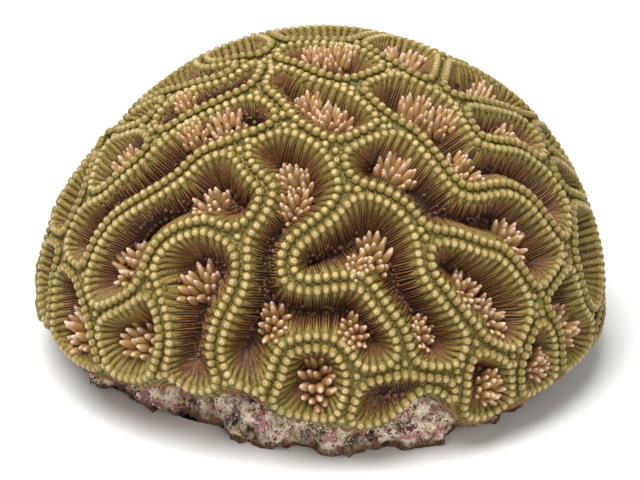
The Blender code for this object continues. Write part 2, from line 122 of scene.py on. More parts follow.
# Where the floor of each cup seen from the front runs, in pixels of that 640 x 480 view
CUP_FLOORS = {
    "left_long": [
        [(74, 244), (86, 222), (108, 199), (142, 181), (170, 152), (200, 128), (235, 110), (256, 109)],
    ],
    "left_second": [
        [(234, 202), (212, 176), (198, 190), (178, 202), (148, 212), (122, 232), (108, 256), (102, 276)],
    ],
    "left_hook": [[(188, 256), (218, 268), (196, 298), (189, 330), (188, 366)]],
    "left_low": [[(120, 338), (138, 338)]],
    "left_side": [[(60, 285), (64, 315), (72, 350)]],
    "left_edge": [[(47, 256), (42, 282)]],
    "left_edge_high": [[(70, 190), (58, 216)]],
    "shoulder_left": [[(102, 174), (118, 153), (132, 138)]],
    "shoulder_left_small": [[(146, 108)]],
    "upper_left": [[(160, 112), (186, 98), (216, 87), (248, 71)]],
    "upper_left_edge": [[(165, 78), (192, 70), (222, 66)]],
    "top_left": [[(220, 54), (250, 44)]],
    "top": [[(296, 50), (325, 54), (356, 57)]],
    "crown": [[(300, 30), (340, 29)]],
    "upper_middle": [[(277, 74), (290, 88), (325, 106), (352, 116)]],
    "middle_fork": [
        [(274, 150), (296, 164), (303, 190), (288, 216), (272, 238), (264, 262), (262, 290), (256, 320), (240, 352)],
        [(262, 300), (300, 312), (345, 316), (376, 345)],
    ],
    "front_ring": [[(318, 372), (318, 388)]],
    "middle_hook": [[(308, 258), (345, 244), (375, 228), (392, 250), (404, 285), (424, 320), (440, 352)]],
    "right_long": [
        [(376, 152), (400, 164), (430, 186), (450, 208), (476, 214), (506, 208), (532, 232), (550, 262)],
    ],
    "right_low": [[(455, 262), (484, 286), (508, 308), (512, 328)]],
    "right_second": [
        [(392, 90), (420, 100), (442, 116), (458, 142), (474, 170), (505, 163), (535, 174), (562, 206)],
    ],
    "top_right": [[(388, 44), (408, 50), (428, 62)]],
    "shoulder_right": [[(456, 76), (484, 88), (512, 98)]],
    "shoulder_right_low": [[(492, 122), (514, 124), (532, 136)]],
    "right_edge_high": [[(551, 142)]],
    "right_edge_small": [[(566, 172)]],
    "right_side_high": [[(584, 222), (590, 246), (594, 270)]],
    "right_side": [[(566, 292), (571, 318), (579, 342)]],
    "right_corner": [[(546, 348), (542, 370)]],
    "front_right": [[(492, 376), (494, 394)]],
    "front_low": [[(384, 404), (408, 400), (432, 394)]],
}

# Middles of the polyps' finger clusters seen from the front, in the same pixels
CLUSTERS = [
    (198, 136), (228, 128), (213, 203), (128, 262), (198, 282), (142, 338), (84, 328), (127, 160), (192, 105),
    (316, 62), (340, 62), (312, 106), (334, 118), (296, 178), (294, 204), (274, 320), (352, 328), (318, 380),
    (356, 264), (376, 252), (420, 330), (396, 168), (512, 238), (466, 288), (490, 314), (416, 108), (438, 122),
    (462, 168), (403, 60), (480, 95), (503, 135), (576, 252), (561, 322), (532, 360), (484, 382),
]

# The colony's lower edge: bearing in degrees from +X towards +Y, and level in millimetres
LOWER_EDGE = [
    (-175, 9.5), (-166, 9.5), (-157, 10.5), (-149, 9.0), (-141, 10.0), (-133, 11.0), (-127, 12.0),
    (-123, 15.0), (-118, 12.0), (-114, 12.5), (-110, 15.5), (-104, 14.5), (-100, 10.5), (-96, 10.0),
    (-88, 9.0), (-81, 7.0), (-74, 9.0), (-68, 15.0), (-64, 13.0), (-61, 7.0), (-56, 4.0), (-48, 6.0),
    (-39, 6.2), (-28, 7.0),
]
HIDDEN_EDGE_LEVEL = 8.0 * MM
HIDDEN_EDGE_WAVE = 1.6 * MM

# The cups out of that view follow a rule: seeds wound evenly over the dome, some joined into longer cups
HIDDEN_SEEDS = 104
HIDDEN_LOWEST_SHARE = 1.12
HIDDEN_FRONT_LIMIT = -24.0 * MM
HIDDEN_CLEARANCE = 12.0 * MM
HIDDEN_JOIN = 17.5 * MM
HIDDEN_SHORT = (3.0 * MM, 9.0 * MM)
GOLDEN_ANGLE = math.pi * (3.0 - math.sqrt(5.0))

# How finely the colony's outer form is laid out before its points are spread over it
BEARINGS = 360
ARC_STEPS = 240
LIP_STEPS = 24
EDGE_SMOOTHING = 2.2
CEILING_SHARE = 0.3


def unit(vectors):
    """Vectors of length one."""
    return vectors / np.maximum(np.linalg.norm(vectors, axis=-1, keepdims=True), 1e-12)


def dome_field(points, inset=0.0):
    """Below 0 inside the dome, about the distance to its surface in metres."""
    offset = points - CENTRE
    across = np.hypot(offset[..., 0] / (DOME_HALF_WIDTH - inset), offset[..., 1] / (DOME_HALF_DEPTH - inset))
    tall = np.where(offset[..., 2] > 0, DOME_HEIGHT - inset, DOME_DROP)
    radius = (across**DOME_POWER + np.abs(offset[..., 2] / tall) ** DOME_POWER) ** (1.0 / DOME_POWER)
    return (radius - 1.0) * DOME_HALF_DEPTH


def dome_point(direction):
    """The dome's surface in a direction from its centre."""
    length = np.linalg.norm(direction, axis=-1, keepdims=True)
    across = np.hypot(direction[..., 0] / DOME_HALF_WIDTH, direction[..., 1] / DOME_HALF_DEPTH)
    tall = np.where(direction[..., 2] > 0, DOME_HEIGHT, DOME_DROP)
    radius = (across**DOME_POWER + np.abs(direction[..., 2] / tall) ** DOME_POWER) ** (-1.0 / DOME_POWER)
    return CENTRE + direction / length * (radius[..., None] * length)


def sight_lines(pixels):
    """Eye position and the directions of the given pixels of the front view."""
    back = np.array([0.0, -math.cos(EYE_ELEVATION), math.sin(EYE_ELEVATION)])
    right = np.array([1.0, 0.0, 0.0])
    up = np.cross(back, right)
    across = (pixels[:, :1] - EYE_CENTRE[0]) / EYE_FOCAL_PIXELS
    above = (EYE_CENTRE[1] - pixels[:, 1:]) / EYE_FOCAL_PIXELS
    return np.array(EYE_TARGET) + back * EYE_DISTANCE, unit(-back + right * across + up * above)


def seen_point(pixels, inset=0.0):
    """The first point of the dome that each pixel of the front view meets."""
    pixels = np.asarray(pixels, float)
    eye, lines = sight_lines(pixels)
    steps = np.linspace(0.27, 0.46, 400)
    field = dome_field(eye + lines[:, None, :] * steps[None, :, None], inset)
    inside = field < 0
    first = np.where(inside.any(axis=1), inside.argmax(axis=1), field.argmin(axis=1))
    low = steps[np.maximum(first - 1, 0)]
    high = steps[first]
    for _ in range(30):
        middle = (low + high) / 2
        within = dome_field(eye + lines * middle[:, None], inset) < 0
        high = np.where(within, middle, high)
        low = np.where(within, low, middle)
    return eye + lines * high[:, None]


def smooth_line(points, steps=4):
    """A curve through the points, as points closer together, on the dome."""
    points = np.asarray(points, float)
    if len(points) < 3:
        return points
    ends = np.vstack([2 * points[0] - points[1], points, 2 * points[-1] - points[-2]])
    curve = []
    for k in range(len(points) - 1):
        a, b, c, d = ends[k : k + 4]
        for t in np.arange(steps) / steps:
            curve.append(
                0.5 * (2 * b + (c - a) * t + (2 * a - 5 * b + 4 * c - d) * t**2 + (3 * b - a - 3 * c + d) * t**3)
            )
    curve.append(points[-1])
    return dome_point(np.array(curve) - CENTRE)


def hidden_cups(seen):
    """Cups for the sides and the back, from evenly wound seeds, some joined."""
    draw = random.Random(SEED)
    seeds = []
    for k in range(HIDDEN_SEEDS):
        level = 1.0 - (k + 0.5) / HIDDEN_SEEDS * HIDDEN_LOWEST_SHARE
        reach = math.sqrt(max(0.0, 1.0 - level * level))
        turn = k * GOLDEN_ANGLE
        point = dome_point(np.array([reach * math.cos(turn), reach * math.sin(turn), level]))
        near = min(line_foot(point[None], line)[0][0] for lines in seen for line in lines)
        if point[1] > HIDDEN_FRONT_LIMIT and near > HIDDEN_CLEARANCE:
            seeds.append(point)
    cups = []
    free = list(range(len(seeds)))
    while free:
        run = [free.pop(0)]
        for _ in range(draw.choice((0, 1, 1, 2))):
            near = [k for k in free if np.linalg.norm(seeds[k] - seeds[run[-1]]) < HIDDEN_JOIN]
            if near:
                run.append(min(near, key=lambda k: np.linalg.norm(seeds[k] - seeds[run[-1]])))
                free.remove(run[-1])
        if len(run) > 1:
            line = [seeds[run[0]]]
            for k in run[1:]:
                line += [dome_point((line[-1] + seeds[k]) / 2 - CENTRE), seeds[k]]
        else:
            outward = unit(seeds[run[0]] - CENTRE)
            level_way = unit(np.cross(outward, np.array([0.0, 0.0, 1.0])))
            turn = draw.uniform(0.0, math.pi)
            way = math.cos(turn) * level_way + math.sin(turn) * np.cross(level_way, outward)
            half = draw.uniform(*HIDDEN_SHORT) / 2
            line = [dome_point(seeds[run[0]] + side * half * way - CENTRE) for side in (-1, 1)]
        cups.append([smooth_line(line)])
    return cups


def all_cups():
    """The floor lines of every cup, those seen from the front first."""
    seen = [[smooth_line(seen_point(line)) for line in lines] for lines in CUP_FLOORS.values()]
    return seen + hidden_cups(seen)


def wall_room(points, above_rim):
    """How deep a cup may go at each point before its wall towards the underside grows too thin."""
    below = np.flatnonzero(above_rim < -UNDERSIDE_START)
    tree = KDTree(len(below))
    for index in below:
        tree.insert(points[index], int(index))
    tree.balance()
    room = np.full(len(points), 1.0)
    for index in np.flatnonzero((above_rim >= -UNDERSIDE_START) & (points[:, 2] < RECESS_CEILING + DEEP_CUP)):
        room[index] = tree.find(points[index])[2] - LEAST_WALL
    return np.maximum(room, 0.3 * MM)


def edge_levels():
    """Level of the colony's lower edge at each of the evenly spaced bearings, from -180 degrees round."""
    points = [(bearing, level * MM) for bearing, level in LOWER_EDGE]
    for bearing in range(-14, 196, 14):
        turn = math.radians(bearing)
        wave = math.sin(5 * turn + 0.6) + 0.6 * math.sin(9 * turn)
        points.append((bearing, HIDDEN_EDGE_LEVEL + HIDDEN_EDGE_WAVE * wave))
    bearings, levels = np.array(sorted(points)).T
    level = np.interp(np.linspace(-180.0, 180.0, BEARINGS, endpoint=False), bearings, levels, period=360.0)
    offsets = np.arange(-9, 10)
    weights = np.exp(-0.5 * (offsets / EDGE_SMOOTHING) ** 2)
    return sum(weight * np.roll(level, shift) for weight, shift in zip(weights, offsets)) / weights.sum()


def quarter(start, centre, end, steps):
    """A quarter of an ellipse between two points, with its axes level and upright."""
    turn = np.linspace(0.0, math.pi / 2, steps + 1)[1:]
    return centre + np.outer(np.cos(turn), start - centre) + np.outer(np.sin(turn), end - centre)


def dent_depth(bearing, elevation):
    """How far the dome stands back in a direction from its centre."""
    total = 0.0
    for dent_bearing, dent_elevation, spread, depth in DENTS:
        turn = bearing - math.radians(dent_bearing)
        rise = math.radians(dent_elevation)
        near = np.sin(elevation) * math.sin(rise) + np.cos(elevation) * math.cos(rise) * math.cos(turn)
        away = np.degrees(np.arccos(np.clip(near, -1.0, 1.0)))
        total = total + depth * MM * np.exp(-((away / spread) ** 2))
    return total


def profile(bearing, edge):
    """The colony's outline from its top over its rim to the middle of its underside, and its rim's place."""
    wide = 1.0 / math.hypot(math.cos(bearing) / DOME_HALF_WIDTH, math.sin(bearing) / DOME_HALF_DEPTH)
    top = WIDEST_LEVEL + DOME_HEIGHT
    turn = np.linspace(math.pi / 2, -0.6, 400)
    tall = np.where(turn > 0, DOME_HEIGHT, DOME_DROP)
    level = WIDEST_LEVEL + tall * np.sign(turn) * np.abs(np.sin(turn)) ** (2 / DOME_POWER)
    reach = wide * np.abs(np.cos(turn)) ** (2 / DOME_POWER)
    level[0] = top
    elevation = np.arctan2(level - WIDEST_LEVEL, reach)
    dent = dent_depth(bearing, elevation)
    reach = reach - dent * np.cos(elevation)
    level = level - dent * np.sin(elevation)
    lip_top = edge + LIP_HEIGHT
    keep = level > lip_top
    lip_reach = np.interp(-lip_top, -level, reach)
    dome = np.column_stack([np.append(reach[keep], lip_reach), np.append(level[keep], lip_top)])
    middle = lip_reach - LIP_REACH
    lip = quarter(dome[-1], np.array([middle, lip_top]), np.array([middle, edge]), LIP_STEPS)
    recess = wide * RECESS_SHARE
    inner = np.array([recess, edge + LIP_INNER_HEIGHT])
    under = quarter(lip[-1], np.array([middle, inner[1]]), inner, LIP_STEPS)
    corner = np.array([recess, max(RECESS_CEILING - RECESS_CORNER, inner[1])])
    turned = np.array([recess - RECESS_CORNER, RECESS_CEILING])
    bend = quarter(corner, np.array([turned[0], corner[1]]), turned, LIP_STEPS // 4)
    line = np.vstack([dome, lip, under, corner, bend, [[0.0, RECESS_CEILING]]])
    crest = len(dome) + int(LIP_STEPS * RIM_CREST_TURN / (math.pi / 2))
    return line, crest


def colony_surface(sphere):
    """Points spread evenly over the colony's outer form, one for each direction of an even sphere.

    With each comes its height above the rim's crest, measured along the surface.
    """
    columns = []
    for bearing, edge in zip(np.linspace(-math.pi, math.pi, BEARINGS, endpoint=False), edge_levels()):
        line, crest = profile(bearing, edge)
        steps = np.linalg.norm(np.diff(line, axis=0), axis=1)
        length = np.append(0.0, np.cumsum(steps))
        spread = np.append(0.0, np.cumsum(steps * np.append(np.ones(len(steps) - 1), CEILING_SHARE)))
        share = np.linspace(0.0, 1.0, ARC_STEPS + 1) * spread[-1]
        columns.append(
            np.column_stack([
                np.interp(share, spread, line[:, 0]),
                np.interp(share, spread, line[:, 1]),
                length[crest] - np.interp(share, spread, length),
            ])
        )
    table = np.array(columns + columns[:1])
    column = (np.arctan2(sphere[:, 1], sphere[:, 0]) + math.pi) / (2 * math.pi) * BEARINGS
    row = np.arccos(np.clip(sphere[:, 2], -1.0, 1.0)) / math.pi * ARC_STEPS
    left = np.clip(column.astype(int), 0, BEARINGS - 1)
    top = np.clip(row.astype(int), 0, ARC_STEPS - 1)
    across = (column - left)[:, None]
    down = (row - top)[:, None]
    upper = table[left, top] * (1 - across) + table[left + 1, top] * across
    lower = table[left, top + 1] * (1 - across) + table[left + 1, top + 1] * across
    found = upper * (1 - down) + lower * down
    way = unit(sphere[:, :2])
    points = np.column_stack([DOME_SHIFT + way[:, 0] * found[:, 0], way[:, 1] * found[:, 0], found[:, 1]])
    return points, found[:, 2]


def line_foot(points, line):
    """Distance from each point to a line of joined segments, and the nearest place on it."""
    best = np.linalg.norm(points - line[0], axis=1)
    foot = np.repeat(line[:1], len(points), axis=0)
    for start, end in zip(line[:-1], line[1:]):
        along = end - start
        share = np.clip(((points - start) @ along) / max(float(along @ along), 1e-12), 0.0, 1.0)
        place = start + share[:, None] * along
        away = np.linalg.norm(points - place, axis=1)
        nearer = away < best
        best[nearer] = away[nearer]
        foot[nearer] = place[nearer]
    return best, foot


def ridge_distance(points, above_rim, cups):
    """Distance of each point from the middle of the nearest ridge, and how far the ridges dip there."""
    away = np.full((len(cups), len(points)), 1.0)
    toward = np.zeros((len(cups), len(points), 3))
    for cup, lines in enumerate(cups):
        for line in lines:
            distance, foot = line_foot(points, line)
            nearer = distance < away[cup]
            away[cup][nearer] = distance[nearer]
            toward[cup][nearer] = unit(foot - points)[nearer]
    nearest = away.argmin(axis=0)
    own = toward[nearest, np.arange(len(points))]
    parting = np.linalg.norm(toward - own, axis=2)
    beyond = (away - away.min(axis=0)) / np.maximum(parting, LEAST_PARTING)
    beyond[nearest, np.arange(len(points))] = 1.0
    weights = np.exp(-beyond / CORNER_ROUNDING).sum(axis=0)
    rim = np.exp(-np.clip(above_rim, -0.02, 0.2) / CORNER_ROUNDING)
    meeting = np.exp(-beyond / JUNCTION_SPREAD).sum(axis=0)
    meeting += np.exp(-np.clip(above_rim, 0.0, 0.2) / JUNCTION_SPREAD)
    fade = np.clip(1.0 + above_rim / JUNCTION_FADE, 0.0, 1.0)
    dip = JUNCTION_DIP * np.clip(meeting - 1.0, 0.0, 1.0) * fade
    return -CORNER_ROUNDING * np.log(weights + rim), dip


class ColonyForm:
    """The colony's outer form as a fine net of points, with what lies below each of them."""

    def __init__(self, divisions):
        net = bmesh.new()
        bmesh.ops.create_cube(net, size=2.0)
        bmesh.ops.subdivide_edges(net, edges=net.edges[:], cuts=divisions - 1, use_grid_fill=True)
        corners = np.tan(np.array([vertex.co[:] for vertex in net.verts]) * math.pi / 4)
        self.quads = np.array([[vertex.index for vertex in face.verts] for face in net.faces])
        net.free()
        self.points, self.above_rim = colony_surface(unit(corners))
        first, second, third, fourth = (self.points[self.quads[:, k]] for k in range(4))
        turned = np.cross(third - first, fourth - second)
        normals = np.zeros_like(self.points)
        for k in range(4):
            np.add.at(normals, self.quads[:, k], turned)
        self.normals = unit(normals)
        self.cups = all_cups()
        self.ridge, self.dip = ridge_distance(self.points, self.above_rim, self.cups)
        self.room = wall_room(self.points, self.above_rim)
        self.tree = BVHTree.FromPolygons(self.points.tolist(), self.quads.tolist())

    def settle(self, points):
        """The nearest places on the form, with their normals, heights above the rim and room for depth."""
        found = [self.tree.find_nearest(Vector(point)) for point in points]
        places = np.array([hit[0][:] for hit in found])
        corners = self.quads[[hit[2] for hit in found]]
        weights = 1.0 / (np.linalg.norm(self.points[corners] - places[:, None], axis=2) ** 2 + 1e-9)
        weights /= weights.sum(axis=1, keepdims=True)
        normals = unit((self.normals[corners] * weights[..., None]).sum(axis=1))
        above_rim, room = ((values[corners] * weights).sum(axis=1) for values in (self.above_rim, self.room))
        return places, normals, above_rim, room

    def skin(self, points, sunk=0.0):
        """Places on the living skin below the given ones, with the form's normals and the ridge distances."""
        places, normals, above_rim, room = self.settle(points)
        ridge, dip = ridge_distance(places, above_rim, self.cups)
        return places - normals * (wall_depth(ridge, dip, room) + sunk)[:, None], normals, ridge


@functools.cache
def colony_form():
    """The one form that every piece of the colony stands on."""
    return ColonyForm(bpy.context.scene.coral_sizes.skin_divisions)


def wall_depth(ridge, dip, room):
    """How deep the skin lies under the form, from the distance to the nearest ridge, its dip and the room."""
    reach = ridge / MM
    spread = (-0.3, 0.0, 0.3)
    depth = sum(np.interp(reach + shift, WALL_DISTANCE, WALL_DEPTH) for shift in spread) / len(spread) * MM
    return np.minimum(depth + dip, np.maximum(room, 1.2 * MM))


def floor_foot(points, cups):
    """The nearest place on any cup's floor line to each point."""
    best = np.full(len(points), 1.0)
    foot = np.zeros_like(points)
    for line in (line for lines in cups for line in lines):
        away, place = line_foot(points, line)
        nearer = away < best
        best[nearer] = away[nearer]
        foot[nearer] = place[nearer]
    return foot


def floor_way(points, cups):
    """The direction of the nearest floor line at each point."""
    best = np.full(len(points), 1.0)
    way = np.tile([1.0, 0.0, 0.0], (len(points), 1))
    for line in (line for lines in cups for line in lines):
        for start, end in zip(line[:-1], line[1:]):
            away, foot = line_foot(points, np.array([start, end]))
            nearer = away < best
            best[nearer] = away[nearer]
            way[nearer] = unit(end - start)
    return way


def ridge_loops(form, level):
    """Closed loops on the form at one distance from the middle of the ridges."""
    triangles = np.vstack([form.quads[:, [0, 1, 2]], form.quads[:, [0, 2, 3]]])
    height = form.ridge - level
    above = height[triangles] > 0
    crossed = triangles[above.any(axis=1) & ~above.all(axis=1)]
    joined = {}
    for corners in crossed.tolist():
        cuts = []
        for a, b in ((0, 1), (1, 2), (2, 0)):
            low, high = sorted((corners[a], corners[b]))
            if (height[low] > 0) != (height[high] > 0):
                cuts.append((low, high))
        joined.setdefault(cuts[0], []).append(cuts[1])
        joined.setdefault(cuts[1], []).append(cuts[0])
    loops = []
    left = dict(joined)
    while left:
        start = next(iter(left))
        chain = [start]
        left.pop(start)
        while True:
            onward = [cut for cut in joined[chain[-1]] if cut in left]
            if not onward:
                break
            chain.append(onward[0])
            left.pop(onward[0])
        low, high = np.array(chain).T
        share = height[low] / (height[low] - height[high])
        loops.append(form.points[low] + share[:, None] * (form.points[high] - form.points[low]))
    return loops


def evenly_spaced(loop, pitch, softness):
    """Points at an even pitch along a closed loop, with its small kinks smoothed away."""
    closed = np.vstack([loop, loop[:1]])
    length = np.append(0.0, np.cumsum(np.linalg.norm(np.diff(closed, axis=0), axis=1)))
    count = max(8, int(round(length[-1] / (0.25 * MM))))
    fine = at_lengths(closed, length, np.arange(count) / count * length[-1])
    reach = int(3 * softness / (0.25 * MM))
    offsets = np.arange(-reach, reach + 1)
    weights = np.exp(-0.5 * (offsets * 0.25 * MM / softness) ** 2)
    fine = sum(weight * np.roll(fine, shift, axis=0) for weight, shift in zip(weights, offsets)) / weights.sum()
    closed = np.vstack([fine, fine[:1]])
    length = np.append(0.0, np.cumsum(np.linalg.norm(np.diff(closed, axis=0), axis=1)))
    count = max(4, int(round(length[-1] / pitch)))
    return at_lengths(closed, length, np.arange(count) / count * length[-1])


def at_lengths(line, length, wanted):
    """Points of a line at the wanted lengths along it."""
    return np.column_stack([np.interp(wanted, length, line[:, k]) for k in range(3)])


def turns(upward, along):
    """Euler angles that stand a shape's Z along one direction and its X near another."""
    z = unit(upward)
    x = unit(along - (along * z).sum(axis=1, keepdims=True) * z)
    y = np.cross(z, x)
    return np.array([Matrix(np.column_stack(axes).tolist()).to_euler()[:] for axes in zip(x, y, z)])


def store(mesh, name, values):
    """Keeps a number or a vector for each point of a mesh."""
    values = np.asarray(values, np.float32)
    kind, field = ("FLOAT_VECTOR", "vector") if values.ndim == 2 else ("FLOAT", "value")
    mesh.attributes.new(name, kind, "POINT").data.foreach_set(field, values.ravel())


def places_object(points, edges=(), **facts):
    """A mesh of bare points, or of paths, that a node tree grows a piece from."""
    mesh = bpy.data.meshes.new("places")
    mesh.from_pydata(points.tolist(), list(edges), [])
    for name, values in facts.items():
        store(mesh, name, values)
    made = bpy.data.objects.new("places", mesh)
    bpy.context.scene.collection.objects.link(made)
    return made


def turned_shape(outline, sides):
    """A closed turned shape from its outline of radius and height, bottom first; rise runs 0 to 1 along it."""
    form = bmesh.new()
    rise = form.verts.layers.float.new("rise")
    rings = []
    for k, (radius, height) in enumerate(outline):
        count = sides if radius > 0 else 1
        ring = []
        for step in range(count):
            angle = 2 * math.pi * step / sides
            vertex = form.verts.new((radius * math.cos(angle), radius * math.sin(angle), height))
            vertex[rise] = k / (len(outline) - 1)
            ring.append(vertex)
        rings.append(ring)
    for lower, upper in zip(rings[:-1], rings[1:]):
        for step in range(sides):
            after = (step + 1) % sides
            corners = [lower[step % len(lower)], lower[after % len(lower)], upper[after % len(upper)]]
            corners.append(upper[step % len(upper)])
            form.faces.new(list(dict.fromkeys(corners)))
    mesh = bpy.data.meshes.new("turned_shape")
    form.to_mesh(mesh)
    form.free()
    made = bpy.data.objects.new("turned_shape", mesh)
    bpy.context.scene.collection.objects.link(made)
    return made


def node(tree, kind, inputs=(), **settings):
    """A node with its settings, and its inputs given as values or as other nodes' outputs."""
    made = tree.nodes.new(kind)
    for name, value in settings.items():
        setattr(made, name, value)
    for place, value in dict(inputs).items():
        if isinstance(value, bpy.types.NodeSocket):
            tree.links.new(value, made.inputs[place])
        else:
            made.inputs[place].default_value = value
    return made


def node_group(name, sockets):
    """An empty geometry node tree with its named inputs, and the node that gives them."""
    tree = bpy.data.node_groups.new(name, "GeometryNodeTree")
    for label, kind in sockets:
        tree.interface.new_socket(label, in_out="INPUT", socket_type=kind)
    tree.interface.new_socket("Geometry", in_out="OUTPUT", socket_type="NodeSocketGeometry")
    return tree, node(tree, "NodeGroupInput").outputs


def close_tree(tree, geometry, given):
    """Ends a tree: real geometry, smooth, in the piece's own finish."""
    real = node(tree, "GeometryNodeRealizeInstances", {"Geometry": geometry})
    smooth = node(tree, "GeometryNodeSetShadeSmooth", {"Geometry": real.outputs[0]})
    finish = node(tree, "GeometryNodeSetMaterial", {"Geometry": smooth.outputs[0], "Material": given["Finish"]})
    node(tree, "NodeGroupOutput", {0: finish.outputs[0]})
    return tree


@functools.cache
def scatter_tree():
    """Stands one shape on every place, turned and sized as the places say."""
    tree, given = node_group(
        "stand on places",
        [
            ("Places", "NodeSocketGeometry"),
            ("Shape", "NodeSocketObject"),
            ("Size", "NodeSocketFloat"),
            ("Unevenness", "NodeSocketFloat"),
            ("Seed", "NodeSocketInt"),
            ("Finish", "NodeSocketMaterial"),
        ],
    )
    shape = node(tree, "GeometryNodeObjectInfo", {"Object": given["Shape"]})
    turn = node(tree, "GeometryNodeInputNamedAttribute", {"Name": "turn"}, data_type="FLOAT_VECTOR")
    turned = node(tree, "FunctionNodeEulerToRotation", {0: turn.outputs[0]})
    size = node(tree, "GeometryNodeInputNamedAttribute", {"Name": "size"}, data_type="FLOAT_VECTOR")
    least = node(tree, "ShaderNodeMath", {0: 1.0, 1: given["Unevenness"]}, operation="SUBTRACT")
    most = node(tree, "ShaderNodeMath", {0: 1.0, 1: given["Unevenness"]}, operation="ADD")
    drawn = node(tree, "FunctionNodeRandomValue", {2: least.outputs[0], 3: most.outputs[0], "Seed": given["Seed"]})
    scale = node(tree, "ShaderNodeMath", {0: drawn.outputs[1], 1: given["Size"]}, operation="MULTIPLY")
    sized = node(tree, "ShaderNodeVectorMath", {0: size.outputs[0], "Scale": scale.outputs[0]}, operation="SCALE")
    stood = node(
        tree,
        "GeometryNodeInstanceOnPoints",
        {
            "Points": given["Places"],
            "Instance": shape.outputs["Geometry"],
            "Rotation": turned.outputs[0],
            "Scale": sized.outputs[0],
        },
    )
    return close_tree(tree, stood.outputs[0], given)


@functools.cache
def rib_tree():
    """Draws an arched rib along every path, as thick as the path says."""
    tree, given = node_group(
        "ribs along paths",
        [
            ("Paths", "NodeSocketGeometry"),
            ("Thickness", "NodeSocketFloat"),
            ("Height", "NodeSocketFloat"),
            ("Sides", "NodeSocketInt"),
            ("Finish", "NodeSocketMaterial"),
        ],
    )
    upward = node(tree, "GeometryNodeInputNamedAttribute", {"Name": "upward"}, data_type="FLOAT_VECTOR")
    girth = node(tree, "GeometryNodeInputNamedAttribute", {"Name": "girth"}, data_type="FLOAT")
    curve = node(tree, "GeometryNodeMeshToCurve", {"Mesh": given["Paths"]})
    upright = node(
        tree, "GeometryNodeSetCurveNormal", {"Curve": curve.outputs[0], "Normal": upward.outputs[0]}, mode="FREE"
    )
    arch = node(
        tree,
        "GeometryNodeCurveArc",
        {
            "Resolution": given["Sides"],
            "Radius": 1.0,
            "Start Angle": -math.pi / 2,
            "Sweep Angle": math.pi,
            "Connect Center": True,
        },
        mode="RADIUS",
    )
    tall = node(tree, "ShaderNodeCombineXYZ", {"X": given["Height"], "Y": 1.0, "Z": 1.0})
    raised = node(tree, "GeometryNodeTransform", {"Geometry": arch.outputs[0], "Scale": tall.outputs[0]})
    thick = node(tree, "ShaderNodeMath", {0: girth.outputs[0], 1: given["Thickness"]}, operation="MULTIPLY")
    rib = node(
        tree,
        "GeometryNodeCurveToMesh",
        {
            "Curve": upright.outputs[0],
            "Profile Curve": raised.outputs[0],
            "Scale": thick.outputs[0],
            "Fill Caps": True,
        },
    )
    return close_tree(tree, rib.outputs[0], given)


def grow(name, tree, places, settings):
    """Grows a piece from its places through a node tree, as a plain mesh, and lets it ride on the body."""
    growth = places.modifiers.new("growth", "NODES")
    growth.node_group = tree
    for item in tree.interface.items_tree:
        if item.in_out == "INPUT" and item.name in settings:
            growth[item.identifier] = settings[item.name]
    bpy.context.view_layer.update()
    depsgraph = bpy.context.evaluated_depsgraph_get()
    mesh = bpy.data.meshes.new_from_object(places.evaluated_get(depsgraph), depsgraph=depsgraph)
    for spare in ("turn", "size", "upward", "girth"):
        if spare in mesh.attributes:
            mesh.attributes.remove(mesh.attributes[spare])
    places.modifiers.remove(growth)
    for used in (places, settings.get("Shape")):
        if used:
            bpy.data.objects.remove(used, do_unlink=True)
    if not mesh.polygons:
        raise RuntimeError(f"{name} grew no faces")
    return finished(name, mesh)


def finished(name, mesh):
    """A finished piece from its mesh."""
    mesh.name = name
    made = bpy.data.objects.new(name, mesh)
    bpy.context.scene.collection.objects.link(made)
    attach(made, BODY)
    print(name, sum(len(face.vertices) - 2 for face in mesh.polygons), "triangles")
    return made


def new_finish(name, roughness, specular=0.4):
    """A new material, its tree and its shader."""
    made = bpy.data.materials.new(name)
    made.use_nodes = True
    shader = made.node_tree.nodes["Principled BSDF"]
    shader.inputs["Roughness"].default_value = roughness
    shader.inputs["Specular IOR Level"].default_value = specular
    return made, made.node_tree, shader


def ramp(tree, factor, stops):
    """A colour ramp from its stops of position and colour."""
    made = node(tree, "ShaderNodeValToRGB", {"Fac": factor})
    elements = made.color_ramp.elements
    while len(elements) < len(stops):
        elements.new(0.5)
    for element, (position, colour) in zip(elements, stops):
        element.position = position
    for element, (position, colour) in zip(elements, stops):
        element.color = (*colour, 1.0)
    return made.outputs["Color"]


def kept(tree, name):
    """A number kept for each point of the piece."""
    return node(tree, "ShaderNodeAttribute", attribute_name=name).outputs["Fac"]


def mottle(tree, size, detail=3.0, low=0.35, high=0.65, rough=0.5):
    """Soft blotches of a size in metres, from 0 to 1."""
    place = node(tree, "ShaderNodeTexCoord").outputs["Object"]
    facts = {"Vector": place, "Scale": 1.0 / size, "Detail": detail, "Roughness": rough}
    cloud = node(tree, "ShaderNodeTexNoise", facts)
    spread = node(tree, "ShaderNodeMapRange", {"Value": cloud.outputs["Fac"], "From Min": low, "From Max": high})
    return spread.outputs["Result"]


def blended(tree, share, first, second, mode="MIX"):
    """Two colours mixed by a share."""
    made = node(tree, "ShaderNodeMix", data_type="RGBA", blend_type=mode)
    for place, value in ((0, share), (6, first), (7, second)):
        if isinstance(value, bpy.types.NodeSocket):
            tree.links.new(value, made.inputs[place])
        elif place == 0:
            made.inputs[place].default_value = value
        else:
            made.inputs[place].default_value = (*value, 1.0)
    return made.outputs[2]


def bump(tree, shader, height, depth):
    """Fine relief of a depth in metres on a shader."""
    relief = node(tree, "ShaderNodeBump", {"Height": height, "Distance": depth, "Strength": 1.0})
    tree.links.new(relief.outputs["Normal"], shader.inputs["Normal"])


def screen(red, green, blue):
    """A colour from its screen values of 0 to 255."""
    shares = (red / 255, green / 255, blue / 255)
    return tuple(share / 12.92 if share < 0.04 else ((share + 0.055) / 1.055) ** 2.4 for share in shares)


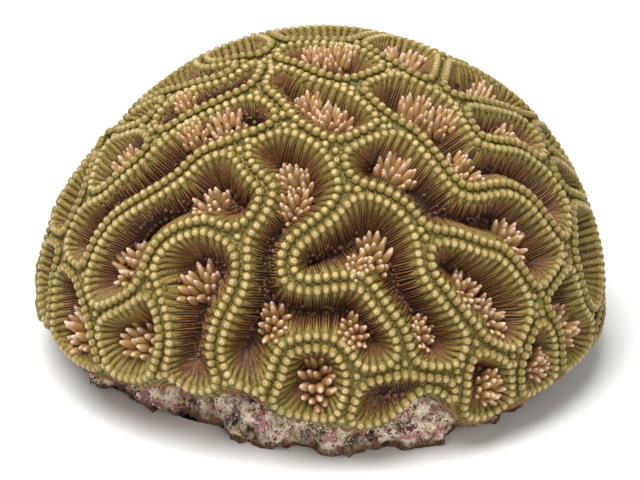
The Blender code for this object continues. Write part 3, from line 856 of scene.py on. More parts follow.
def tint(name, description, *values):
    """A colour that a user can change."""
    return bpy.props.FloatVectorProperty(
        name=name, description=description, default=screen(*values), subtype="COLOR", size=3, min=0.0, max=1.0
    )


def length(name, description, millimetres):
    """A length that a user can change."""
    return bpy.props.FloatProperty(
        name=name, description=description, default=millimetres * MM, min=0.0, unit="LENGTH", precision=5
    )


class CoralSizes(bpy.types.PropertyGroup):
    """Sizes of the colony's own pieces."""

    skin_divisions: bpy.props.IntProperty(
        name="Skin divisions", description="Faces along each side of the skin's net", default=94, min=20, max=120
    )
    bead_pitch: length("Bead pitch", "From one bead of a row to the next", 1.66)
    bead_row: length("Bead row", "Distance of a row of beads from the middle of its ridge", 1.14)
    bead_width: length("Bead half width", "Half the width of a bead", 0.84)
    septum_share: bpy.props.FloatProperty(
        name="Septum share",
        description="Share of the pitch that half a main septum fills at its bead",
        default=0.44,
        min=0.05,
        max=0.5,
    )
    thin_septum_share: bpy.props.FloatProperty(
        name="Thin septum share", description="The same for a septum between them", default=0.13, min=0.02, max=0.5
    )
    finger_length: length("Finger length", "Length of a polyp's finger", 5.4)
    finger_width: length("Finger half width", "Half the thickness of a finger", 1.0)
    finger_count: bpy.props.IntProperty(
        name="Fingers", description="Fingers in each cluster", default=20, min=1, max=40
    )
    granule_width: length("Granule half width", "Half the width of a granule on a cup's floor", 0.56)
    fuzz_width: length("Fuzz half width", "Half the width of a tuft between two rows of beads", 0.38)


class CoralColours(bpy.types.PropertyGroup):
    """Colours of the colony."""

    bead_pore: tint("Bead pore", "The dark pore on top of a bead", 84, 60, 30)
    # Partly the beads' own paler tips, partly a painted highlight on their tops
    crown_and_highlight: tint("Bead crown", "The pale ring round the pore", 202, 179, 128)
    bead_side: tint("Bead side", "The yellow side of a bead", 134, 115, 58)
    bead_foot: tint("Bead foot", "The green foot of a bead", 114, 99, 42)
    ridge_green: tint("Ridge green", "The fuzzy tissue between two rows of beads", 146, 132, 68)
    ridge_shade: tint("Ridge shade", "Its darkest parts", 80, 66, 28)
    wall_high: tint("Upper wall", "The wall just under the beads", 96, 78, 34)
    wall_middle: tint("Middle wall", "The brown wall between the septa", 62, 36, 17)
    wall_low: tint("Lower wall", "The wall near the floor", 58, 33, 19)
    cup_floor: tint("Cup floor", "The purple brown floor of a cup", 68, 40, 28)
    septum_tip: tint("Septum top", "A septum where it leaves its bead", 132, 112, 52)
    septum_middle: tint("Septum middle", "A septum half way down the wall", 122, 82, 46)
    thin_septum: tint("Thin septum", "A fine line between two septa", 144, 100, 62)
    septum_end: tint("Septum end", "A septum at the floor", 112, 74, 48)
    finger_root: tint("Finger root", "The orange brown root of a finger", 132, 84, 44)
    finger_body: tint("Finger body", "The tan body of a finger", 180, 142, 92)
    finger_tip: tint("Finger tip", "The whitish pink tip of a finger", 220, 192, 166)
    granule: tint("Granule", "A small bump on a cup's floor", 124, 84, 62)
    underside_crust: tint("Underside crust", "Purple crust on the underside", 118, 72, 76)
    underside: tint("Underside", "The bare underside of the rim", 112, 86, 56)


class RockSizes(bpy.types.PropertyGroup):
    """Sizes of the reef rock."""

    fine_relief: length("Fine relief", "Depth of the rock's fine lumps", 1.5)
    grain_relief: length("Grain relief", "Depth of the rock's smallest knobs", 0.3)
    pit_depth: length("Pit depth", "Depth of the holes in the rock", 2.2)
    tuft_width: length("Tuft half width", "Half the width of a tuft on the rock", 0.55)
    tuft_count: bpy.props.IntProperty(
        name="Tufts", description="Small tufts and crusts on the rock", default=1700, min=1, max=3000
    )


class RockColours(bpy.types.PropertyGroup):
    """Colours of the reef rock."""

    cream: tint("Cream", "Bare limestone", 242, 224, 198)
    tan: tint("Tan", "Weathered limestone", 146, 104, 70)
    pink: tint("Pink", "Pink crust", 176, 116, 122)
    maroon: tint("Maroon", "Purple crust", 96, 50, 62)
    turf: tint("Turf", "Green turf", 74, 76, 22)
    # Painted shade in the rock's holes and at the feet of its tufts; also the colour of its small dark specks
    hollow: tint("Hollow", "The dark of the holes", 36, 24, 16)
    edge: tint("Edge", "The brown edge round the rock's foot", 92, 56, 26)


class StageSettings(bpy.types.PropertyGroup):
    """The floor and the light."""

    floor_width: bpy.props.FloatProperty(
        name="Floor width", description="Width of the floor", default=6.0, min=1.0, unit="LENGTH"
    )
    floor_colour: tint("Floor", "The pale floor", 244, 244, 242)
    key_power: bpy.props.FloatProperty(
        name="Key power", description="Power of the broad light above", default=6.0, min=0.0, unit="POWER"
    )
    fill_power: bpy.props.FloatProperty(
        name="Fill power", description="Power of the light from the front", default=1.3, min=0.0, unit="POWER"
    )
    surround: bpy.props.FloatProperty(
        name="Surround", description="Strength of the even light all round", default=0.32, min=0.0
    )


def skin_finish(colours):
    """Green on the ridges, brown down the walls and purple brown on the floors."""
    made, tree, shader = new_finish("living skin", 0.62)
    ridge = kept(tree, "ridge")
    uneven = mottle(tree, 1.1 * MM)
    wavy = node(tree, "ShaderNodeMath", {0: uneven, 1: 0.9, 2: ridge}, operation="MULTIPLY_ADD").outputs[0]
    share = node(tree, "ShaderNodeMapRange", {"Value": wavy, "From Min": 0.0, "From Max": 10.0}).outputs["Result"]
    down = ramp(
        tree,
        share,
        [
            (0.0, colours.ridge_green),
            (0.16, colours.ridge_green),
            (0.24, colours.wall_high),
            (0.35, colours.wall_middle),
            (0.55, colours.wall_low),
            (0.74, colours.cup_floor),
        ],
    )
    speckled = blended(tree, mottle(tree, 0.36 * MM, 2.0, 0.42, 0.62), down, colours.ridge_shade)
    near_top = node(tree, "ShaderNodeMapRange", {"Value": ridge, "From Min": 1.6, "From Max": 0.4}).outputs["Result"]
    topped = blended(tree, near_top, down, speckled)
    streaky = blended(tree, mottle(tree, 1.2 * MM, 4.0), colours.underside, colours.wall_middle)
    patchy = blended(tree, mottle(tree, 5.0 * MM, 5.0, 0.5, 0.62), streaky, colours.underside_crust)
    below = node(tree, "ShaderNodeMapRange", {"Value": ridge, "From Min": -4.4, "From Max": -7.0}).outputs["Result"]
    tree.links.new(blended(tree, below, topped, patchy), shader.inputs["Base Color"])
    bump(tree, shader, mottle(tree, 0.4 * MM, 2.0, 0.2, 0.8), 0.24 * MM)
    return made


def bead_finish(colours):
    """A dark pore in a pale crown, partly the bead's paler tip and partly a painted highlight, yellow sides and a
    green foot.
    """
    made, tree, shader = new_finish("ridge beads", 0.42, 0.35)
    rise = kept(tree, "rise")
    uneven = mottle(tree, 0.7 * MM, 2.0)
    shifted = node(tree, "ShaderNodeMath", {0: uneven, 1: 0.1, 2: rise}, operation="MULTIPLY_ADD").outputs[0]
    along = ramp(
        tree,
        shifted,
        [
            (0.24, colours.bead_foot),
            (0.48, colours.bead_side),
            (0.6, colours.bead_side),
            # These crown stops paint a highlight on each bead's top, over its paler tip
            (0.76, colours.crown_and_highlight),
            (0.9, colours.crown_and_highlight),
            (0.96, colours.bead_pore),
        ],
    )
    greener = blended(tree, mottle(tree, 6.0 * MM), along, blended(tree, 0.35, along, colours.bead_foot))
    toned = blended(tree, kept(tree, "tone"), greener, blended(tree, 0.3, greener, colours.bead_side))
    specked = blended(tree, mottle(tree, 0.25 * MM, 1.0, 0.56, 0.7), toned, blended(tree, 0.35, toned, colours.bead_foot))
    tree.links.new(specked, shader.inputs["Base Color"])
    bump(tree, shader, mottle(tree, 0.3 * MM, 1.0, 0.2, 0.8), 0.06 * MM)
    return made


def septum_finish(name, stages, colours):
    """Olive at the bead, golden brown down the wall and dark at the floor, with pale specks that are partly grain
    and partly painted glints.
    """
    made, tree, shader = new_finish(name, 0.5, 0.25)
    uneven = mottle(tree, 0.9 * MM)
    along = node(tree, "ShaderNodeMath", {0: uneven, 1: 0.16, 2: kept(tree, "along")}, operation="MULTIPLY_ADD")
    tip, middle, end = stages
    drawn = ramp(tree, along.outputs[0], [(0.08, tip), (0.36, tip), (0.58, middle), (0.76, middle), (1.0, end)])
    toned = blended(tree, kept(tree, "tone"), drawn, blended(tree, 0.4, drawn, colours.wall_middle))
    # Small pale specks towards the crown colour: partly grain, partly painted glints
    specked = blended(tree, mottle(tree, 0.3 * MM, 1.0, 0.58, 0.72), toned, blended(tree, 0.4, toned, colours.crown_and_highlight))
    tree.links.new(specked, shader.inputs["Base Color"])
    bump(tree, shader, mottle(tree, 0.35 * MM, 1.0, 0.2, 0.8), 0.09 * MM)
    return made


def finger_finish(colours):
    """Orange brown roots, tan bodies and whitish pink tips."""
    made, tree, shader = new_finish("polyp fingers", 0.4, 0.4)
    uneven = mottle(tree, 1.4 * MM)
    rise = node(tree, "ShaderNodeMath", {0: uneven, 1: 0.16, 2: kept(tree, "rise")}, operation="MULTIPLY_ADD")
    drawn = ramp(
        tree,
        rise.outputs[0],
        [
            (0.2, colours.finger_root),
            (0.5, colours.finger_body),
            (0.7, colours.finger_body),
            (0.94, colours.finger_tip),
        ],
    )
    toned = blended(tree, kept(tree, "tone"), drawn, blended(tree, 0.4, drawn, colours.finger_root))
    tree.links.new(toned, shader.inputs["Base Color"])
    shader.inputs["Subsurface Weight"].default_value = 0.07
    shader.inputs["Subsurface Radius"].default_value = (0.6 * MM, 0.35 * MM, 0.25 * MM)
    shader.inputs["Subsurface Scale"].default_value = 1.0
    bump(tree, shader, mottle(tree, 0.35 * MM, 1.0, 0.2, 0.8), 0.04 * MM)
    return made


def granule_finish(colours):
    """Pinkish bumps, browner at their feet."""
    made, tree, shader = new_finish("floor granules", 0.5)
    drawn = ramp(tree, kept(tree, "rise"), [(0.2, colours.cup_floor), (0.8, colours.granule)])
    toned = blended(tree, kept(tree, "tone"), drawn, blended(tree, 0.6, drawn, colours.septum_end))
    varied = blended(tree, mottle(tree, 5.0 * MM), toned, blended(tree, 0.4, toned, colours.wall_low))
    tree.links.new(varied, shader.inputs["Base Color"])
    return made


def fuzz_finish(colours):
    """Green tufts, darker at their feet."""
    made, tree, shader = new_finish("ridge fuzz", 0.75, 0.2)
    drawn = ramp(tree, kept(tree, "rise"), [(0.1, colours.ridge_shade), (0.9, colours.ridge_green)])
    toned = blended(tree, kept(tree, "tone"), drawn, blended(tree, 0.45, drawn, colours.bead_side))
    varied = blended(tree, mottle(tree, 4.0 * MM), toned, blended(tree, 0.35, toned, colours.ridge_shade))
    tree.links.new(varied, shader.inputs["Base Color"])
    return made


def rock_finish(colours):
    """Cream limestone with pink and purple crusts, green turf, dark specks and holes darkened with painted shade."""
    made, tree, shader = new_finish("reef rock", 0.85, 0.25)
    stone = blended(tree, mottle(tree, 2.0 * MM, 5.0, 0.42, 0.58, 0.65), colours.cream, colours.tan)
    pinked = blended(tree, mottle(tree, 4.0 * MM, 6.0, 0.51, 0.6, 0.75), stone, colours.pink)
    crusted = blended(tree, mottle(tree, 4.5 * MM, 7.0, 0.55, 0.6, 0.72), pinked, colours.maroon)
    turfed = blended(tree, mottle(tree, 6.5 * MM, 7.0, 0.56, 0.62, 0.72), crusted, colours.turf)
    grains = blended(tree, mottle(tree, 0.6 * MM, 3.0, 0.56, 0.68), turfed, colours.hollow)
    pale = blended(tree, mottle(tree, 0.5 * MM, 2.0, 0.56, 0.7), grains, colours.cream)
    level = node(tree, "ShaderNodeSeparateXYZ", {0: node(tree, "ShaderNodeTexCoord").outputs["Object"]}).outputs["Z"]
    low = node(tree, "ShaderNodeMapRange", {"Value": level, "From Min": 3.4 * MM, "From Max": 0.8 * MM})
    edged = blended(tree, low.outputs["Result"], pale, blended(tree, 0.8, pale, colours.edge))
    # The holes are darkened by their depth: painted shade
    hole_shaded = blended(tree, kept(tree, "hollow"), edged, colours.hollow)
    tree.links.new(hole_shaded, shader.inputs["Base Color"])
    bump(tree, shader, mottle(tree, 0.7 * MM, 5.0, 0.2, 0.8), 0.5 * MM)
    return made


def tuft_finish(colours):
    """Turf, cream grains and purple crusts by the tuft, with painted shade at their feet."""
    made, tree, shader = new_finish("rock tufts", 0.85, 0.2)
    kinds = ramp(
        tree,
        kept(tree, "tone"),
        [
            (0.3, colours.turf),
            (0.38, colours.cream),
            (0.6, colours.cream),
            (0.72, colours.pink),
            (0.9, colours.maroon),
        ],
    )
    # Darkened at their feet towards the hollow colour: painted shade where they meet the rock
    foot_shaded = blended(tree, kept(tree, "rise"), blended(tree, 0.6, kinds, colours.hollow), kinds)
    tree.links.new(foot_shaded, shader.inputs["Base Color"])
    bump(tree, shader, mottle(tree, 0.4 * MM, 2.0, 0.2, 0.8), 0.15 * MM)
    return made


def places_between(open_ground, taken, least):
    """Places on open ground that keep a least distance from the taken ones and from each other."""
    tree = KDTree(len(taken))
    for index, place in enumerate(taken):
        tree.insert(place, index)
    tree.balance()
    away = np.array([tree.find(place)[2] for place in open_ground])
    found = []
    while away.max() > least:
        found.append(open_ground[away.argmax()])
        away = np.minimum(away, np.linalg.norm(open_ground - found[-1], axis=1))
    return np.array(found).reshape(-1, 3)


@functools.cache
def bead_places():
    """Where the beads stand: in a row on each side of every ridge, and one row outside the rim."""
    sizes = bpy.context.scene.coral_sizes
    form = colony_form()
    rows = []
    for side in (1.0, -1.0):
        for loop in ridge_loops(form, side * sizes.bead_row):
            row = evenly_spaced(loop, sizes.bead_pitch, 0.8 * MM)
            along = unit(np.roll(row, -1, axis=0) - np.roll(row, 1, axis=0))
            rows.append((row, along, np.full(len(row), side)))
    starts = np.cumsum([0] + [len(row) for row, along, side in rows])
    after = np.concatenate([start + np.roll(np.arange(len(row[0])), -1) for start, row in zip(starts, rows)])
    points, along, side = (np.concatenate(parts) for parts in zip(*rows))
    open_ground = form.points[(form.ridge < 0.5 * MM) & (form.above_rim > 1.5 * MM)]
    spare = places_between(open_ground, points, 0.9 * sizes.bead_pitch)
    after = np.append(after, len(points) + np.arange(len(spare)))
    points = np.concatenate([points, spare])
    along = np.concatenate([along, np.tile([1.0, 0.0, 0.0], (len(spare), 1))])
    side = np.append(side, np.zeros(len(spare)))
    places, normals, above_rim, room = form.settle(points)
    dip = ridge_distance(places, above_rim, form.cups)[1]
    foot = floor_foot(places, form.cups)
    outward = unit(places - foot)
    return {
        "points": places,
        "after": after,
        "normals": normals,
        "along": along,
        "side": side,
        "foot": foot,
        "outward": outward,
        "dip": dip,
    }


class OBJECT_OT_coral_skin(bpy.types.Operator):
    """Makes the colony's skin, with its cups, ridges and curled rim"""

    bl_idname = "coral.skin"
    bl_label = "Skin"

    def execute(self, context):
        form = colony_form()
        mesh = bpy.data.meshes.new("colony_skin")
        points = form.points - form.normals * wall_depth(form.ridge, form.dip, form.room)[:, None]
        mesh.from_pydata(points.tolist(), [], form.quads.tolist())
        store(mesh, "ridge", form.ridge / MM)
        mesh.polygons.foreach_set("use_smooth", [True] * len(mesh.polygons))
        mesh.materials.append(skin_finish(context.scene.coral_colours))
        skin = finished("colony_skin", mesh)
        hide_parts("coral_colony")
        return {"FINISHED"}


class OBJECT_OT_coral_beads(bpy.types.Operator):
    """Makes the beads that stand in rows along the ridges"""

    bl_idname = "coral.beads"
    bl_label = "Beads"

    def execute(self, context):
        sizes = context.scene.coral_sizes
        stand = bead_places()["side"] >= 0
        beads = {name: values[stand] for name, values in bead_places().items()}
        draw = np.random.default_rng(SEED)
        count = len(beads["points"])
        lean = np.where(beads["side"] > 0, -0.28, 0.0)[:, None]
        upward = unit(beads["normals"] + lean * beads["outward"] + draw.normal(0.0, 0.05, (count, 3)))
        sunk = 1.02 * sizes.bead_width + 0.06 * MM + beads["dip"]
        base = beads["points"] - beads["normals"] * sunk[:, None]
        places = places_object(
            base,
            turn=turns(upward, beads["along"]),
            size=np.tile([1.0, 1.06, 1.08], (count, 1)),
            tone=draw.random(count),
        )
        outline = [(0.0, -0.4), (1.2, -0.3), (1.1, 0.18), (0.86, 0.58), (0.5, 0.86), (0.16, 0.94), (0.0, 0.8)]
        settings = {
            "Shape": turned_shape(outline, 7),
            "Size": sizes.bead_width,
            "Unevenness": 0.07,
            "Seed": SEED,
            "Finish": bead_finish(context.scene.coral_colours),
        }
        grow("ridge_beads", scatter_tree(), places, settings)
        return {"FINISHED"}


def wedge_ribs(beads, inside):
    """Starts and feet of further ribs where the feet of two neighbouring beads lie far apart."""
    starts, feet = beads["points"][inside], beads["foot"][inside]
    next_starts, next_feet = beads["points"][beads["after"][inside]], beads["foot"][beads["after"][inside]]
    apart = np.linalg.norm(next_feet - feet, axis=1)
    found_starts, found_feet = [], []
    for k in np.flatnonzero(apart > WEDGE_START):
        number = int(apart[k] / WEDGE_PITCH)
        share = (np.arange(1, number) / number)[:, None]
        between = starts[k] + share * (next_starts[k] - starts[k])
        found_starts.append(between)
        found_feet.append(between + 1.3 * (feet[k] + share * (next_feet[k] - feet[k]) - between))
    found_feet = floor_foot(colony_form().settle(np.concatenate(found_feet))[0], colony_form().cups)
    return np.concatenate(found_starts), found_feet


def wall_paths(starts, feet, first, gap, steps):
    """Paths down the cups' walls, from their beads towards the floors, with their upward directions."""
    form = colony_form()
    reach = np.linalg.norm(feet - starts, axis=1)
    last = np.maximum((reach - gap)[:, None], first + 0.6 * MM)
    share = np.linspace(0.0, 1.0, steps)
    run = first + (last - first) * share
    points = starts[:, None] + unit(feet - starts)[:, None] * run[..., None]
    skin, normals, ridge = form.skin(points.reshape(-1, 3), 0.16 * MM)
    skin = skin.reshape(-1, steps, 3)
    ahead = unit(np.gradient(skin, axis=1))
    normals = normals.reshape(-1, steps, 3)
    upward = unit(normals - (normals * ahead).sum(axis=2, keepdims=True) * ahead)
    return skin, upward, share


def local_pitch(skin):
    """Distance from each point of a path to the same point of the nearer path beside it."""
    ahead = np.linalg.norm(np.roll(skin, -1, axis=0) - skin, axis=2)
    return np.minimum(np.minimum(ahead, np.roll(ahead, 1, axis=0)), 1.74 * MM)


def rib_places(skin, upward, girth, along, tone):
    """The places object of many paths of as many points each."""
    count, steps = skin.shape[:2]
    index = np.arange(count * steps).reshape(count, steps)
    edges = np.stack([index[:, :-1].ravel(), index[:, 1:].ravel()], axis=1)
    return places_object(
        skin.reshape(-1, 3),
        edges.tolist(),
        upward=upward.reshape(-1, 3),
        girth=girth.ravel(),
        along=along.ravel(),
        tone=np.repeat(tone, steps),
    )


class OBJECT_OT_coral_septa(bpy.types.Operator):
    """Makes the septa that run from the beads down the cups' walls"""

    bl_idname = "coral.septa"
    bl_label = "Septa"

    def execute(self, context):
        sizes = context.scene.coral_sizes
        colours = context.scene.coral_colours
        finish = septum_finish("septa", (colours.septum_tip, colours.septum_middle, colours.septum_end), colours)
        thin_finish = septum_finish("thin septa", (colours.septum_tip, colours.thin_septum, colours.septum_end), colours)
        beads = bead_places()
        draw = np.random.default_rng(SEED + 1)
        inside = beads["side"] > 0
        wedge_starts, wedge_feet = wedge_ribs(beads, inside)
        first = np.repeat([0.1 * MM, 1.3 * MM], [inside.sum(), len(wedge_starts)])[:, None]
        starts = np.concatenate([beads["points"][inside], wedge_starts])
        feet = np.concatenate([beads["foot"][inside], wedge_feet])
        gap = draw.uniform(0.1, 0.7, len(starts)) * MM
        skin, upward, share = wall_paths(starts, feet, first, gap, 8)
        taper = np.interp(share, [0.0, 0.24, 0.46, 0.7, 1.0], [1.0, 0.86, 0.5, 0.33, 0.27])
        least = np.repeat([0.4 * MM, 0.85 * MM], [inside.sum(), len(wedge_starts)])[:, None]
        girth = np.maximum(taper * local_pitch(skin), least) * draw.uniform(0.9, 1.1, (len(starts), 1))
        along = np.broadcast_to(share, girth.shape)
        places = rib_places(skin, upward, girth, along, draw.random(len(starts)))
        settings = {"Thickness": sizes.septum_share, "Height": 1.12, "Sides": 4, "Finish": finish}
        grow("main_septa", rib_tree(), places, settings)

        across = beads["along"][inside] * sizes.bead_pitch / 3
        between = [beads["points"][inside] + across * side for side in (-1, 1)]
        settled = colony_form().settle(np.concatenate(between))[0]
        feet = floor_foot(settled, colony_form().cups)
        first = draw.uniform(0.5, 1.2, len(settled)) * MM
        gap = draw.uniform(0.2, 1.6, len(settled)) * MM
        rims = beads["side"] < 0
        onward = beads["points"][rims] + beads["outward"][rims] * 6.0 * MM
        starts = np.concatenate([settled, beads["points"][rims]])
        feet = np.concatenate([feet, onward])
        first = np.append(first, np.full(rims.sum(), -0.5 * MM))[:, None]
        gap = np.append(gap, draw.uniform(0.3, 1.5, rims.sum()) * MM)
        skin, upward, share = wall_paths(starts, feet, first, gap, 5)
        taper = np.interp(share, [0.0, 0.2, 1.0], [0.7, 1.0, 0.8])
        girth = np.clip(taper * local_pitch(skin), 0.6 * MM, 1.6 * MM) * draw.uniform(0.8, 1.15, (len(starts), 1))
        along = 0.12 + 0.86 * np.broadcast_to(share, girth.shape)
        places = rib_places(skin, upward, girth, along, draw.random(len(starts)))
        settings = {"Thickness": sizes.thin_septum_share, "Height": 3.3, "Sides": 3, "Finish": thin_finish}
        grow("thin_septa", rib_tree(), places, settings)
        return {"FINISHED"}


def cluster_places(count):
    """Where the fingers' roots stand on the form, which way they point and how far out each stands."""
    form = colony_form()
    draw = np.random.default_rng(SEED + 2)
    seen = seen_point(CLUSTERS, CLUSTER_LEVEL)
    centres = list(seen + unit(seen - CENTRE) * CLUSTER_LEVEL)
    for lines in form.cups[len(CUP_FLOORS) :]:
        number = max(1, len(lines[0]) // 4)
        centres += [lines[0][(2 * k + 1) * len(lines[0]) // (2 * number)] for k in range(number)]
    centres, normals, above_rim, room = form.settle(np.array(centres))
    shown = (above_rim > CLUSTER_CLEARANCE) | (np.arange(len(centres)) < len(CLUSTERS))
    centres, normals, above_rim = centres[shown], normals[shown], above_rim[shown]
    fit = np.interp(ridge_distance(centres, above_rim, form.cups)[0] / MM, [4.0, 7.0], [0.66, 1.0])
    way = floor_way(centres, form.cups)
    across = unit(np.cross(normals, way))
    along = np.cross(across, normals)
    order = np.arange(count)
    spread = np.sqrt((order + 0.5) / count)
    angle = order * GOLDEN_ANGLE
    shift = draw.uniform(0.0, 6.0, (len(centres), 1))
    out_along = spread * np.cos(angle + shift)
    out_across = spread * np.sin(angle + shift)
    radial = out_along[..., None] * along[:, None] + out_across[..., None] * across[:, None]
    long_reach, wide_reach = 4.3 * MM * fit[:, None, None], 3.1 * MM * fit[:, None, None]
    lower = np.array([0.0, 0.0, -1.0]) + normals * normals[:, 2:]
    roots = (centres + lower * CLUSTER_LEAN)[:, None] + long_reach * out_along[..., None] * along[:, None]
    roots = roots + wide_reach * out_across[..., None] * across[:, None]
    return {
        "centres": centres,
        "roots": roots.reshape(-1, 3),
        "radial": radial.reshape(-1, 3),
        "spread": np.broadcast_to(spread, shift.shape[:1] + spread.shape).ravel(),
        "fit": np.repeat(np.sqrt(fit), count),
    }


class OBJECT_OT_coral_fingers(bpy.types.Operator):
    """Makes the clusters of fingers that stand in the cups"""

    bl_idname = "coral.fingers"
    bl_label = "Fingers"

    def execute(self, context):
        sizes = context.scene.coral_sizes
        cluster = cluster_places(sizes.finger_count)
        draw = np.random.default_rng(SEED + 3)
        skin, normals, ridge = colony_form().skin(cluster["roots"], 0.5 * MM)
        count = len(skin)
        upward = 0.75 * normals + 0.5 * np.array([0.0, 0.0, 1.0]) + 0.42 * cluster["radial"]
        upward = unit(upward + draw.normal(0.0, 0.09, (count, 3)))
        tall = sizes.finger_length * np.interp(cluster["spread"], [0.0, 0.7, 1.0], [1.05, 0.92, 0.6])
        room = np.interp(ridge / MM, [2.5, 5.2], [0.45, 1.0])
        tall = tall * room * cluster["fit"] * draw.uniform(0.86, 1.12, count)
        wide = sizes.finger_width * cluster["fit"] * np.interp(tall / sizes.finger_length, [0.3, 1.0], [0.78, 1.0])
        places = places_object(
            skin,
            turn=turns(upward, np.cross(upward, draw.normal(0.0, 1.0, (count, 3)))),
            size=np.column_stack([wide, wide, tall]),
            tone=draw.random(count),
        )
        outline = [(0.0, -0.02), (0.95, 0.0), (1.0, 0.2), (0.86, 0.48), (0.62, 0.76), (0.32, 0.94), (0.0, 1.0)]
        settings = {
            "Shape": turned_shape(outline, 7),
            "Size": 1.0,
            "Unevenness": 0.06,
            "Seed": SEED,
            "Finish": finger_finish(context.scene.coral_colours),
        }
        grow("polyp_fingers", scatter_tree(), places, settings)
        return {"FINISHED"}


class OBJECT_OT_coral_granules(bpy.types.Operator):
    """Makes the small bumps along the cups' floors"""

    bl_idname = "coral.granules"
    bl_label = "Floor granules"

    def execute(self, context):
        sizes = context.scene.coral_sizes
        form = colony_form()
        draw = np.random.default_rng(SEED + 4)
        spots, sizes_drawn = [], []
        for line in (line for lines in form.cups for line in lines):
            steps = np.linalg.norm(np.diff(line, axis=0), axis=1)
            run = np.append(0.0, np.cumsum(steps))
            number = max(6, int(run[-1] / (0.5 * MM)))
            strewn = at_lengths(line, run, draw.uniform(0.0, run[-1], number))
            row = at_lengths(line, run, np.arange(0.0, run[-1] + 0.1 * MM, 1.45 * MM))
            spots.append(np.vstack([strewn + draw.normal(0.0, 0.8 * MM, strewn.shape), row]))
            sizes_drawn += [0.75] * number + [1.15] * len(row)
        ribs = [vertex.co for vertex in bpy.data.objects["main_septa"].data.vertices]
        walls = (form.ridge > 2.6 * MM) & (form.above_rim > 2.6 * MM)
        depth = wall_depth(form.ridge[walls], form.dip[walls], form.room[walls])
        bare = places_between(form.points[walls] - form.normals[walls] * depth[:, None], ribs, BARE_REACH)
        spots.append(bare)
        sizes_drawn += [1.0] * len(bare)
        skin, normals, ridge = form.skin(np.concatenate(spots), 0.05 * MM)
        keep = ridge > 2.6 * MM
        skin, normals = skin[keep], normals[keep]
        count = len(skin)
        upward = unit(normals + draw.normal(0.0, 0.15, (count, 3)))
        drawn = np.array(sizes_drawn)[keep] * draw.uniform(0.8, 1.15, count)
        size = np.column_stack([drawn, drawn, 1.2 * drawn])
        places = places_object(
            skin,
            turn=turns(upward, draw.normal(0.0, 1.0, (count, 3))),
            size=size,
            tone=draw.random(count),
        )
        settings = {
            "Shape": turned_shape([(0.0, -0.2), (0.9, 0.0), (1.0, 0.35), (0.66, 0.8), (0.0, 1.0)], 6),
            "Size": sizes.granule_width,
            "Unevenness": 0.15,
            "Seed": SEED,
            "Finish": granule_finish(context.scene.coral_colours),
        }
        grow("floor_granules", scatter_tree(), places, settings)
        return {"FINISHED"}


def scattered_on(points, faces, wanted, draw):
    """Places drawn evenly over some faces, with the faces' normals."""
    first, second, third = (points[faces[:, k]] for k in range(3))
    turned = np.cross(second - first, third - first)
    area = np.linalg.norm(turned, axis=1)
    picked = draw.choice(len(faces), wanted, p=area / area.sum())
    a, b = draw.random((2, wanted, 1))
    flip = a + b > 1
    a, b = np.where(flip, 1 - a, a), np.where(flip, 1 - b, b)
    spots = first[picked] + a * (second - first)[picked] + b * (third - first)[picked]
    return spots, unit(turned[picked])


class OBJECT_OT_coral_fuzz(bpy.types.Operator):
    """Makes the green tufts between the two rows of beads of each ridge"""

    bl_idname = "coral.fuzz"
    bl_label = "Ridge fuzz"

    def execute(self, context):
        sizes = context.scene.coral_sizes
        form = colony_form()
        draw = np.random.default_rng(SEED + 5)
        triangles = np.vstack([form.quads[:, [0, 1, 2]], form.quads[:, [0, 2, 3]]])
        between = np.abs(form.ridge[triangles]).max(axis=1) < 0.8 * MM
        spots, flat = scattered_on(form.points, triangles[between], 3600, draw)
        skin, normals, ridge = form.skin(spots, 0.1 * MM)
        count = len(skin)
        upward = unit(normals + draw.normal(0.0, 0.35, (count, 3)))
        size = draw.uniform(0.6, 1.2, (count, 1)) * np.array([[0.75, 0.75, 1.25]])
        places = places_object(
            skin,
            turn=turns(upward, draw.normal(0.0, 1.0, (count, 3))),
            size=size,
            tone=draw.random(count),
        )
        settings = {
            "Shape": turned_shape([(0.0, -0.2), (1.0, 0.1), (0.8, 0.7), (0.0, 1.0)], 4),
            "Size": sizes.fuzz_width,
            "Unevenness": 0.2,
            "Seed": SEED,
            "Finish": fuzz_finish(context.scene.coral_colours),
        }
        grow("ridge_fuzz", scatter_tree(), places, settings)
        return {"FINISHED"}


